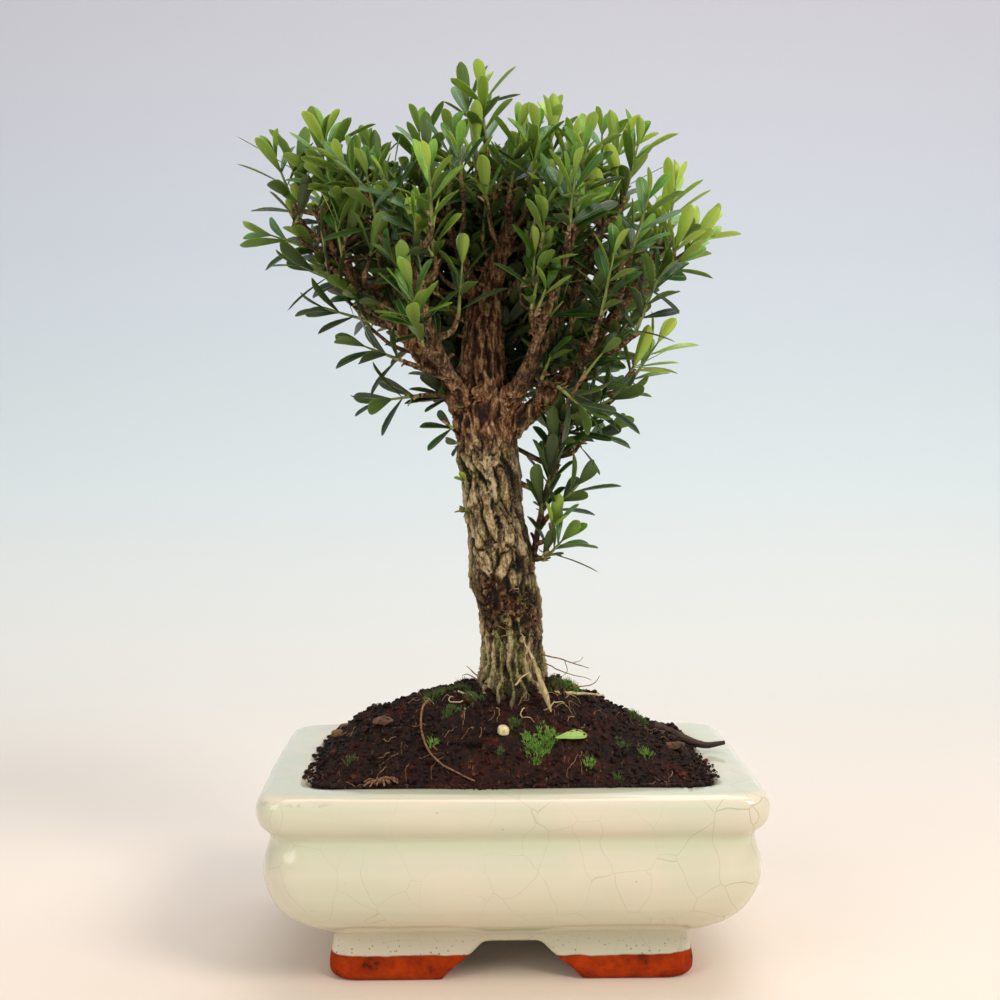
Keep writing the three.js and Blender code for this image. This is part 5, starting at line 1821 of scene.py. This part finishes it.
    def scales(self, shoots: list[Shoot]) -> list[dict]:
        """Return places of the small dry bud scales at the feet of shoots."""
        leaves = []
        for number, shoot in enumerate(shoots):
            way = shoot.direction
            for slot in range(3):
                d = draws(900 + number, slot, 6)
                out = np.array([d[0] - 0.5, d[1] - 0.6, d[2] - 0.5])
                out -= way * float(out @ way)
                leaves.append({
                    "root": np.array(shoot.foot) + way * (1.6 * slot - 1.5),
                    "way": way, "out": out / np.linalg.norm(out), "lean": 0.5 + 0.8 * d[3],
                    "length": 2.2 + 2.2 * d[4], "width": 1.3 + 0.5 * d[5], "arch": -0.1,
                    "skew": 0.0, "cup": 0.5, "sweep": 0.1, "tone": 0.5})
        return [self.aim(leaf, (0, 0)) for leaf in leaves]

    def build(self) -> list[Shoot]:
        """Dress the named shoots, then fill the crown.

        Returns:
            The further shoots that hold leaves, whose twigs are still to be made.
        """
        self.mark_wood()
        tufts = [(shoot, self.settle(600 + i, shoot, self.crowding_tuft))
                 for i, shoot in enumerate(TUFTS)]
        for index, shoot in enumerate(SHOOTS):
            leaves = self.settle(index, shoot, self.crowding_named)
            self.dress(f"leafy_shoot_{shoot.name}", leaves, [shoot],
                       (f"shoot_{shoot.name}",))
        self.dress("bright_tufts",
                   [leaf for _, leaves in tufts for leaf in leaves], [s for s, _ in tufts])
        self.show_limbs()
        kept, groups = [], {Tone.OLD: [], Tone.MID: []}
        for number, shoot in enumerate(self.further_shoots()):
            if self.view.crowding(twig_line(shoot, STEEP)[0][4:]) > 1:
                continue
            most = self.crowding_back if shoot.foot[1] > 3 else self.crowding_front
            leaves = [leaf for leaf in self.settle(1000 + number, shoot, most)
                      if self.inside(leaf["root"] + leaf["along"] * leaf["length"], 2.0)]
            if len(leaves) >= self.fewest_leaves:
                kept.append(shoot)
                groups[shoot.tone].append((shoot, leaves))
        for tone, members in groups.items():
            for start in range(0, len(members), self.shoots_per_piece):
                part = members[start:start + self.shoots_per_piece]
                number = start // self.shoots_per_piece
                self.dress(f"inner_foliage_{tone.name.lower()}_{number}",
                           [leaf for _, leaves in part for leaf in leaves], [s for s, _ in part],
                           blade=self.plain)
        scale = Blade((0.0, 0.4, 0.8, 1.0), 2).model()
        self.dress("dry_bud_scales", self.scales([*SHOOTS, *TUFTS, *kept]), [],
                   blade=scale, kind=SCALE)
        total = sum(len(leaves) for members in groups.values() for _, leaves in members)
        LOG.info("%d further shoots with %d leaves", len(kept), total)
        return [*TUFTS, *kept]


# The soil and what lies on it


@dataclass
class Soil:
    """A mound of peat that fills the pot and climbs to the trunk, with crumbs and clods.

    Bare gives x, y and radius of the place that stays free of lumps in front of the pebble, and
    rim profile the places out from the soil's edge and the heights there on which lumps rest.
    """

    half_x: float = 64.0
    half_y: float = 39.0
    corner: float = 9.0
    edge: float = 65.0
    back_rise: float = 2.5
    mound: float = 25.5
    trunk_ring: float = 11.5
    bare: tuple = (-2.8, -26.5, 3.6)
    rim_profile: tuple = ((0.2, 0.7, 1.8, 3.6), (63.4, 64.2, 64.8, 64.9))

    def height(self, x: np.ndarray, y: np.ndarray) -> np.ndarray:
        """Return the height of the mound: its solid's dome and humps, and some clumps of its own.

        Unlike the solid it stands a little higher beside the trunk and in the back left corner,
        and it is sunk on the right.
        """
        s = (np.abs(x / self.half_x) ** 2.6 + np.abs(y / self.half_y) ** 2.6) ** (1 / 2.6)
        s = np.minimum(s, 1)
        edge = self.edge + self.back_rise * y / self.half_y
        humps = 0.7 * np.sin(x / 6.1 + 1.3 * np.sin(y / 7.3)) + 0.5 * np.sin(y / 4.2 + x / 9.7)
        humps += 2.4 * np.exp(-((x - 17) / 6) ** 2 - (y / 12) ** 2)
        humps -= 4.4 * np.exp(-((x - 44) / 12) ** 2)
        humps += 8.0 * np.exp(-((x + 54) / 9) ** 2) * rise(-12, 12, y)
        clumps = np.sin(x / 2.9 + 1.7 * np.sin(y / 5.3)) * np.sin(y / 2.6 + 1.1 * np.sin(x / 4.9))
        humps += 0.8 * clumps
        return edge + self.mound * (1 - s ** 1.9) + humps * (1 - s ** 4)

    def top(self, x: np.ndarray, y: np.ndarray) -> np.ndarray:
        """Return the height of the finished surface, with clods and crumbs."""
        flat = np.column_stack([x, y, np.zeros(len(x))])
        rough = 1.0 * noise(flat, 8, 21, 2) + 1.1 * noise(flat, 3.0, 22, 2)
        rough += 0.8 * noise(flat, 1.3, 23)
        reach = np.maximum(np.abs(x) / self.half_x, np.abs(y) / self.half_y)
        return self.height(x, y) + rough - 2.2 * rise(0.94, 1.0, reach)

    def mound_piece(self) -> None:
        """Spread a fine grid over the pot's opening, raise it, and close it down to the floor."""
        start_fresh()
        bpy.ops.mesh.primitive_grid_add(x_subdivisions=240, y_subdivisions=148, size=2)
        soil = bpy.context.object
        points = points_of(soil)
        half_x, half_y = self.half_x + 0.2, self.half_y + 0.2
        x, y = points[:, 0] * half_x, points[:, 1] * half_y
        dx = np.maximum(np.abs(x) - (half_x - self.corner), 0)
        dy = np.maximum(np.abs(y) - (half_y - self.corner), 0)
        both = (dx > 0) & (dy > 0)
        shrink = np.where(both, np.maximum(dx, dy) / np.maximum(np.hypot(dx, dy), 1e-9), 1)
        x = np.where(dx > 0, np.sign(x) * (half_x - self.corner + dx * shrink), x)
        y = np.where(dy > 0, np.sign(y) * (half_y - self.corner + dy * shrink), y)
        set_points(soil, np.column_stack([x, y, self.top(x, y)]))
        bpy.ops.object.mode_set(mode="EDIT")
        bpy.ops.mesh.select_mode(type="EDGE")
        bpy.ops.mesh.select_all(action="DESELECT")
        bpy.ops.mesh.select_non_manifold()
        bpy.ops.mesh.extrude_edges_move(TRANSFORM_OT_translate={"value": (0, 0, -14)})
        bpy.ops.transform.resize(value=(1.03, 1.04, 1), center_override=(0, 0, 0))
        bpy.ops.mesh.extrude_edges_move(TRANSFORM_OT_translate={"value": (0, 0, -28)})
        bpy.ops.transform.resize(value=(0.96, 0.94, 0.02), center_override=(0, 0, 22.7))
        bpy.ops.mesh.edge_face_add()
        end_edit()
        smooth(soil)
        finish_piece(soil, "peat_mound", [MoistPeat()], ("soil",))

    def rim_places(self, rng: np.random.Generator, count: int) -> tuple[np.ndarray, ...]:
        """Scatter places along the pot's edge, a third of them in front, where they spill over.

        Args:
            rng: the random draws.
            count: how many places.

        Returns:
            Their x, y and z.
        """
        turn = rng.uniform(0, 2 * math.pi, count)
        turn[: count // 3] = rng.uniform(-2.4, -0.75, count // 3)
        c, s = np.cos(turn), np.sin(turn)
        spill = noise(np.column_stack([c, s, 0 * c]) * 40, 5, 44, 2)
        front = rise(-0.7, -0.85, s)
        width = 3.6 + 1.8 * spill + rise(0.6, -1.0, s) + front * (1.8 + 6.0 * spill)
        out = -2 + width * rng.random(count) ** (1.4 - 0.5 * front)
        far = (np.abs(c) ** 9 + np.abs(s) ** 9) ** (-1 / 9)
        x, y = (self.half_x + out) * c * far, (self.half_y + out) * s * far
        rim = np.interp(out, *self.rim_profile)
        return x, y, np.maximum(np.where(out < 0.2, self.top(x, y), rim), rim)

    def lumps(self, name: str, count: int, sizes: tuple[float, float], seed: int,
              on_rim: bool = False) -> None:
        """Strew small lumps over the mound, sunk a little into it.

        Args:
            name: the piece's name.
            count: how many lumps.
            sizes: smallest and largest radius in millimetres.
            seed: which random draw.
            on_rim: whether they lie along the pot's edge instead.
        """
        rng = np.random.default_rng(seed)
        x = rng.uniform(-0.96, 0.96, count) * self.half_x
        y = rng.uniform(-0.96, 0.96, count) * self.half_y
        keep = np.hypot(x, y) > self.trunk_ring
        keep &= np.hypot(x - self.bare[0], y - self.bare[1]) > self.bare[2]
        keep &= (np.abs(x / self.half_x) ** 8 + np.abs(y / self.half_y) ** 8) < 0.75
        x, y = x[keep], y[keep]
        z = self.top(x, y)
        if on_rim:
            x, y, z = self.rim_places(rng, count)
        radii = sizes[0] + (sizes[1] - sizes[0]) * rng.random(len(x)) ** 3
        piece = strewn(name, np.column_stack([x, y, z + 0.35 * radii]), radii, rng)
        finish_piece(piece, name, [MoistPeat()])

    def build(self) -> None:
        """Model the mound and strew its crumbs and clods."""
        self.mound_piece()
        self.lumps("soil_crumbs", 4300, (0.35, 1.1), 41)
        self.lumps("soil_clods", 230, (0.9, 2.1), 42)
        self.lumps("soil_on_rim", 1500, (0.35, 1.3), 43, True)


@dataclass
class GroundCover:
    """Moss cushions, rootlets, straws and hairs on the mound.

    Cushions give x, y, radius, number of blades and whether the moss is fresh.
    """

    soil: Soil
    cushions: tuple = (
        (7.6, -28.8, 4.4, 370, True), (11.8, -26.0, 3.2, 190, True), (1.1, -22.4, 2.2, 100, False),
        (-25.0, -4.5, 5.0, 260, False), (-17.0, -2.0, 4.2, 200, False),
        (-12.5, -12.5, 3.2, 120, False), (16.5, -6.5, 4.4, 230, False),
        (21.0, -3.0, 3.6, 160, True), (-4.2, -30.2, 1.5, 40, False),
        (-53.0, -20.0, 1.8, 50, False), (44.5, 7.0, 4.2, 170, False),
        (35.5, -20.8, 2.2, 70, False), (-25.7, -26.1, 1.6, 44, True), (9.0, 16.0, 5.0, 200, False),
        (-14.0, 15.0, 4.6, 180, False), (24.4, -31.7, 1.7, 54, True), (33.6, -33.4, 1.3, 36, False),
        (44.0, -20.7, 2.0, 64, True), (-20.0, -16.0, 2.8, 120, False))

    def blades(self, name: str, cushions: list[tuple], kind: NaturalFinish, seed: int) -> None:
        """Plant moss: one small blade, copied hundreds of times.

        Args:
            name: the piece's name.
            cushions: where the moss grows.
            kind: its finish.
            seed: which random draw.
        """
        rng = np.random.default_rng(seed)
        start_fresh()
        bpy.ops.mesh.primitive_cone_add(vertices=3, radius1=1, radius2=0.12, depth=1,
                                        location=(0, 0, 0.5))
        bpy.ops.object.transform_apply(location=True)
        shape, faces = pattern_of(bpy.context.object)
        points, rows = [], []
        for x0, y0, radius, count, _ in cushions:
            turn = rng.uniform(0, 2 * math.pi, count)
            out = np.sqrt(rng.random(count))
            lumpy = 1 + 0.3 * np.sin(3 * turn + seed)
            x = x0 + radius * out * lumpy * np.cos(turn)
            y = y0 + 0.8 * radius * out * lumpy * np.sin(turn)
            z = self.soil.top(x, y)
            for i in range(count):
                tall = (0.8 + 1.5 * (1 - out[i] ** 2)) * rng.uniform(0.7, 1.3)
                away = np.array([math.cos(turn[i]), math.sin(turn[i])])
                lean = rng.normal(0, 0.35, 2) + 0.5 * out[i] * away
                wide = rng.uniform(0.16, 0.28)
                block = shape * (wide, wide, tall)
                block[:, :2] += block[:, 2:] * lean
                rows += [tuple(v + len(points) * len(shape) for v in face) for face in faces]
                points.append(block + (x[i], y[i], z[i] - 0.2))
        piece = mesh_object(name, np.vstack(points), rows)
        finish_piece(piece, name, [kind])

    def threads(self, name: str, count: int, lengths: tuple[float, float],
                radii: tuple[float, float], slot: Slot, kind: NaturalFinish, seed: int,
                near: float = 0.0, lift: float = 0.4) -> None:
        """Lay thin threads on the mound, each a wandering line.

        Args:
            name: the piece's name.
            count: how many threads.
            lengths: shortest and longest.
            radii: thinnest and thickest radius.
            slot: the record's material slot; not used.
            kind: their finish.
            seed: which random draw.
            near: how close to the trunk they gather; 0 spreads them all over.
            lift: how high they arch over the soil.
        """
        rng = np.random.default_rng(seed)
        lines = []
        for _ in range(count):
            if near:
                angle = rng.uniform(0, 2 * math.pi)
                away = 12.5 + near * rng.random()
                x, y = 1 + away * math.cos(angle), away * math.sin(angle)
                heading = angle + rng.normal(0, 0.9)
            else:
                x = rng.uniform(-0.86, 0.86) * self.soil.half_x
                y = rng.uniform(-0.86, 0.86) * self.soil.half_y
                heading = rng.uniform(0, 2 * math.pi)
            length = rng.uniform(*lengths)
            steps = 9
            place = []
            for _ in range(steps + 1):
                place.append((x, y))
                x += length / steps * math.cos(heading)
                y += 0.6 * length / steps * math.sin(heading)
                heading += rng.normal(0, 0.4)
            place = np.clip(np.array(place), (-60, -35.5), (60, 35.5))
            z = self.soil.top(place[:, 0], place[:, 1])
            bow = np.sin(np.linspace(0.15, math.pi - 0.1, steps + 1))
            radius = rng.uniform(*radii)
            line = np.column_stack([place, z + radius * 0.6 + lift * rng.uniform(0.3, 2.2) * bow])
            lines.append((line, radius * np.linspace(1, 0.45, steps + 1)))
        piece = tubes(name, lines, 0)
        smooth(piece)
        finish_piece(piece, name, [kind])

    def placed_straws(self) -> None:
        """Lay the straws and dead twigs that stick out by the foot of the trunk."""
        pale = ((0.7, (14.5, -10, 88.3), (23.3, -9, 87.9), (31.4, -8, 87.3)),
                (0.36, (1.3, -18, 92.5), (3.6, -17, 94.6), (5.9, -16, 96.2)),
                (0.36, (-17.4, -9, 88.9), (-14.7, -10, 88.0), (-12.1, -12, 87.6)),
                (0.45, (7.4, -14.4, 100.6), (5.8, -13.4, 103.5), (4.4, -12.6, 106.5)))
        dark = ((0.3, (10.0, -4, 100.6), (16.2, -6, 99.2), (22.7, -7, 97.2), (26.2, -8, 96.3)),
                (0.24, (11.5, -4, 97.4), (19.7, -7, 94.2), (27.4, -8, 92.5)),
                (0.26, (18.0, -6, 89.4), (25.6, -7, 89.9), (28.6, -8, 91.6), (29.8, -8, 93.6)),
                (0.17, (18.2, -6, 98.4), (19.1, -6, 94.8), (16.2, -6, 91.5)),
                (0.15, (21.3, -7, 97.7), (23.4, -7, 98.4), (24.8, -7, 99.8)),
                (0.16, (-31.4, 0, 79.0), (-28.6, 0, 83.1), (-31.0, 0, 87.5)),
                (0.3, (-11.0, -5, 93.5), (-12.7, -5, 95.5), (-14.6, -4, 96.2)),
                (0.26, (-11.5, -5, 92.0), (-14.0, -5, 94.0), (-16.0, -4, 93.4)))
        for name, ways, kind in (("straws_by_the_trunk", pale, PALE_ROOT),
                                 ("dead_twigs_by_the_trunk", dark, BROWN_ROOT)):
            lines = []
            for radius, *way in ways:
                line = curve_points(tuple(way), 12)
                line += 0.5 * noises(line, 2.5, 90)
                lines.append((line, radius * np.linspace(1, 0.4, len(line))))
            piece = tubes(name, lines, 1)
            smooth(piece)
            finish_piece(piece, name, [kind])

    def long_root(self) -> None:
        """Lay the one long thin root that curves down the front slope to the rim."""
        way = ((-26.8, -7.5, 0), (-29.0, -13.0, 0), (-29.5, -18.0, 0), (-27.9, -26.0, 0),
               (-23.0, -31.5, 0), (-16.5, -35.0, 0), (-12.0, -36.8, 0))
        flat = curve_points(way, 40)
        z = self.soil.top(flat[:, 0], flat[:, 1])
        z = np.convolve(np.pad(z, 4, "edge"), np.ones(9) / 9, "valid")
        flat[:, 2] = z + 0.8
        flat[0, 2] -= 1.2
        root = tubes("long_root", [(flat, spread((0.42, 0.36, 0.3), 40))], 2)
        smooth(root)
        finish_piece(root, "long_thin_root", [BROWN_ROOT])

    def rim_fibres(self) -> None:
        """Drop the tuft of brown fibre that hangs over the front left of the rim."""
        rng = np.random.default_rng(77)
        lines = []
        for _ in range(26):
            base = np.array([-41.5 + rng.normal(0, 1.6), -36.5 + rng.normal(0, 1.2), 65.6])
            heading = rng.uniform(-2.6, -0.4)
            length = rng.uniform(3, 7)
            height = 1.6 * rng.uniform(0.4, 1)
            rows = [base + (length * t * math.cos(heading), 0.8 * length * t * math.sin(heading),
                            height * math.sin(math.pi * t)) for t in np.linspace(0, 1, 6)]
            lines.append((np.array(rows), np.full(6, rng.uniform(0.14, 0.3))))
        piece = tubes("rim_fibres", lines, 0)
        smooth(piece)
        finish_piece(piece, "rim_fibre_tuft", [BROWN_ROOT])

    def build(self) -> None:
        """Plant the moss and lay the threads."""
        fresh = [cushion for cushion in self.cushions if cushion[4]]
        old = [cushion for cushion in self.cushions if not cushion[4]]
        self.blades("fresh_moss", fresh, FRESH_MOSS, 51)
        self.blades("old_moss", old, OLD_MOSS, 52)
        self.threads("brown_rootlets", 110, (3, 11), (0.1, 0.24), Slot.DEAD_WOOD, BROWN_ROOT, 61)
        self.threads("pale_straws", 4, (8, 15), (0.2, 0.36), Slot.PALE_ROOT, PALE_ROOT, 62,
                     near=12, lift=1.4)
        self.threads("pale_hairs", 15, (4, 9), (0.07, 0.12), Slot.PALE_ROOT, PALE_ROOT, 63,
                     near=16, lift=1.6)
        self.placed_straws()
        self.long_root()
        self.rim_fibres()


@dataclass
class LooseBits:
    """The single things that lie on the soil: pebble, leaf, chips, root, twig and pellets."""

    soil: Soil
    foliage: Foliage

    def seat(self, x: float, y: float) -> float:
        """Return the height of the mound under one place."""
        return float(self.soil.height(np.array([x]), np.array([y]))[0])

    def lump(self, name: str, place: tuple, size: tuple, turn: float, slot: Slot,
             kind: NaturalFinish, rough: float, seed: int) -> None:
        """Model one lump from a rounded block and set it into the soil.

        Args:
            name: the node that it stands for.
            place: x and y.
            size: half sizes.
            turn: its turn about z.
            slot: the record's material slot; not used.
            kind: its finish.
            rough: how uneven it is, as a share of its size.
            seed: which unevenness.
        """
        start_fresh()
        bpy.ops.mesh.primitive_cube_add(size=2)
        piece = bpy.context.object
        start_edit()
        bpy.ops.mesh.bevel(offset=0.45, segments=3, affect="EDGES")
        bpy.ops.mesh.subdivide(number_cuts=3, smoothness=0.4)
        bpy.ops.object.mode_set(mode="OBJECT")
        points = points_of(piece)
        points *= 0.86 / np.maximum(np.linalg.norm(points, axis=1), 1.0)[:, None] ** 0.5
        points *= (1 + rough * noise(points, 0.8, seed, 2))[:, None]
        points *= size
        place = (*place, self.seat(*place) + 0.75 * size[2])
        set_points(piece, points @ about_z(turn) + place)
        smooth(piece)
        finish_piece(piece, name + "_detailed", [kind], (name,))

    def stick(self, name: str, way: tuple, radii: tuple,
              kind: NaturalFinish) -> None:
        """Model a stick or root.

        Args:
            name: the node that it stands for.
            way: x, y and lift over the mound, point by point.
            radii: the radius at each point.
            kind: its finish.
        """
        rows = [(x, y, self.seat(x, y) + lift) for x, y, lift in way]
        piece = tubes(name, [(curve_points(tuple(rows), 24), spread(radii, 24))], 3)
        points = points_of(piece)
        knots = noise(points, 1.2, 71, 2)
        set_points(piece, points + normals_of(piece) * (0.16 * knots)[:, None])
        smooth(piece)
        finish_piece(piece, name + "_detailed", [kind], (name,))

    def fallen_leaf(self) -> None:
        """Lay the one shed leaf on the front slope."""
        leaf = {"root": np.array([14.0, -28.0, self.seat(14, -28) + 2.2]),
                "way": np.array([0.0, 0, 1]), "out": np.array([0.97, 0.25, 0]), "lean": 1.5,
                "length": 11.0, "width": 4.6, "arch": 0.1, "skew": 0.5, "cup": 0.3,
                "sweep": 0.05}
        aimed = self.foliage.aim(leaf, (0, 0))
        rows, quads = self.foliage.fine
        piece = mesh_object("leaf", self.foliage.shape(aimed, rows), quads.tolist())
        set_attribute(piece, "tone", np.full(len(piece.data.vertices), 0.82))
        smooth(piece, 60)
        finish_piece(piece, "fallen_leaf_detailed", [WaxyLeaf()],
                     ("fallen_leaf",))

    def build(self) -> None:
        """Model each thing."""
        wood = Slot.DEAD_WOOD
        self.lump("pebble", (-2.8, -25.5), (2.2, 1.8, 1.9), 0.4, Slot.PEBBLE, STONE, 0.16, 86)
        self.lump("bark_chip_left", (-41.8, -8), (3.4, 5.6, 1.3), -0.5, wood, CHIP, 0.3, 82)
        self.lump("bark_chip_right", (53.5, -12), (5.2, 2.6, 1.4), 0.3, wood, CHIP, 0.3, 83)
        self.lump("pellet_back", (-58, 30), (2.6, 2.2, 1.7), 0.6, Slot.FEED, FEED, 0.15, 84)
        self.lump("pellet_left", (-59, 6), (2.4, 2.0, 1.6), 0.2, Slot.FEED, FEED, 0.15, 85)
        self.stick("broken_root", ((13, -20, 1.1), (10.5, -16.5, 7.2), (7.4, -11.8, 13.2)),
                   (0.3, 1.0, 0.85, 0.4), BROKEN_ROOT)
        self.stick("rim_twig", ((50, 6, 1.1), (59, 5, 1.3), (67, 3.2, 2.2), (74, 2, 3.4)),
                   (1.6, 1.5, 1.2, 0.7), DAMP_TWIG)
        self.fallen_leaf()


@dataclass
class Studio:
    """A pale table that curves up into a backdrop, soft lamps, and the photographer's place.

    Yaw and pitch are in radians, and focal is in widths of the sensor.
    """

    camera_at: tuple = EYE
    yaw: float = 0.0238
    pitch: float = 0.0603
    focal: float = 1.4457
    sensor: float = 36.0
    table_back: float = 0.35
    sweep: float = 0.6
    sky_colour: str = "#e6ebf2"
    sky_strength: float = 0.42

    def backdrop(self) -> None:
        """Build the table and backdrop as one swept sheet, cream in front and pale blue behind."""
        start_fresh()
        bpy.ops.mesh.primitive_plane_add(size=2, location=(0, 0, 0))
        sheet = bpy.context.object
        start_edit()
        bpy.ops.transform.resize(value=(2.5, self.table_back, 1), center_override=(0, 0, 0))
        bpy.ops.object.mode_set(mode="OBJECT")
        for edge in sheet.data.edges:
            edge.select = min(sheet.data.vertices[v].co.y for v in edge.vertices) > 0
        for face in sheet.data.polygons:
            face.select = False
        bpy.ops.object.mode_set(mode="EDIT")
        bpy.ops.mesh.select_mode(type="EDGE")
        steps, radius = 24, self.sweep
        for i in range(steps):
            a, b = (math.pi / 2 * (i + k) / steps for k in (0, 1))
            move = (0, radius * (math.sin(b) - math.sin(a)), radius * (math.cos(a) - math.cos(b)))
            bpy.ops.mesh.extrude_edges_move(TRANSFORM_OT_translate={"value": move})
        bpy.ops.mesh.extrude_edges_move(TRANSFORM_OT_translate={"value": (0, 0, 1.4)})
        bpy.ops.object.mode_set(mode="OBJECT")
        for vertex in sheet.data.vertices:
            if vertex.co.y < 0:
                vertex.co.y *= 4
        smooth(sheet)
        material, node = new_material("pale_paper_backdrop")
        place = node("TexCoord", out="Object")
        run = node("VectorMath", {"operation": "DOT_PRODUCT"}, {0: place, 1: (0, 1, 1)}, "Value")
        share = node("MapRange", None, {0: run, 1: -0.05, 2: 1.55})
        colour = node("ValToRGB", None, {0: share}, stops=[
            (0.0, "#e7d9cc"), (0.20, "#e2dbd1"), (0.42, "#d6d9d6"), (0.54, "#cdd6d8"),
            (0.65, "#c6d0d5"), (0.80, "#c0c8d2"), (1.0, "#c0c1cc")])
        surface = node("BsdfPrincipled", None, {
            "Base Color": colour, "Roughness": 0.9, "Specular IOR Level": 0.1})
        node("OutputMaterial", None, {0: surface})
        sheet.data.materials.append(material)
        sheet.name = "pale_backdrop"

    def lamp(self, name: str, place: tuple, size: float, watts: float, colour: str) -> None:
        """Add one square soft lamp that faces the tree.

        Args:
            name: the lamp's name.
            place: where it stands, in metres.
            size: its side in metres.
            watts: its power.
            colour: its sRGB hex colour.
        """
        data = bpy.data.lights.new(name, "AREA")
        data.shape = "SQUARE"
        data.size = size
        data.energy = watts
        data.color = linear(colour)[:3]
        lamp = add_object(name, data)
        lamp.location = place
        aim = Vector((0, 0, 0.15)) - Vector(place)
        lamp.rotation_euler = aim.to_track_quat("-Z", "Y").to_euler()

    def build(self) -> None:
        """Set up the backdrop, the lamps, the sky light and the camera."""
        self.backdrop()
        self.lamp("key_softbox", (1.0, -1.0, 1.2), 0.6, 19, "#fff4e6")
        self.lamp("fill_softbox", (-1.2, -1.1, 1.0), 1.1, 11, "#fff6ec")
        self.lamp("top_softbox", (0.2, 0.2, 1.7), 1.2, 15, "#ffffff")
        world = bpy.data.worlds.new("room_light")
        world.use_nodes = True
        background = world.node_tree.nodes["Background"]
        background.inputs["Color"].default_value = linear(self.sky_colour)
        background.inputs["Strength"].default_value = self.sky_strength
        bpy.context.scene.world = world
        bpy.context.scene.view_settings.view_transform = "Standard"
        data = bpy.data.cameras.new("photographer")
        data.sensor_width = self.sensor
        data.lens = self.focal * self.sensor
        data.clip_start = 0.01
        camera = add_object("photographer", data)
        camera.location = POT_MIDDLE + Vector(self.camera_at) * MM
        camera.rotation_euler = (math.pi / 2 - self.pitch, 0, -self.yaw)
        bpy.context.scene.camera = camera


def main() -> None:
    """Build the bonsai from the pot up."""
    logging.basicConfig(level=logging.INFO)
    soil = Soil()
    foliage = Foliage()
    Pot().build()
    soil.build()
    GroundCover(soil).build()
    LooseBits(soil, foliage).build()
    further = foliage.build()
    Wood().build(further)
    Studio().build()


if __name__ == "__main__":
    main()
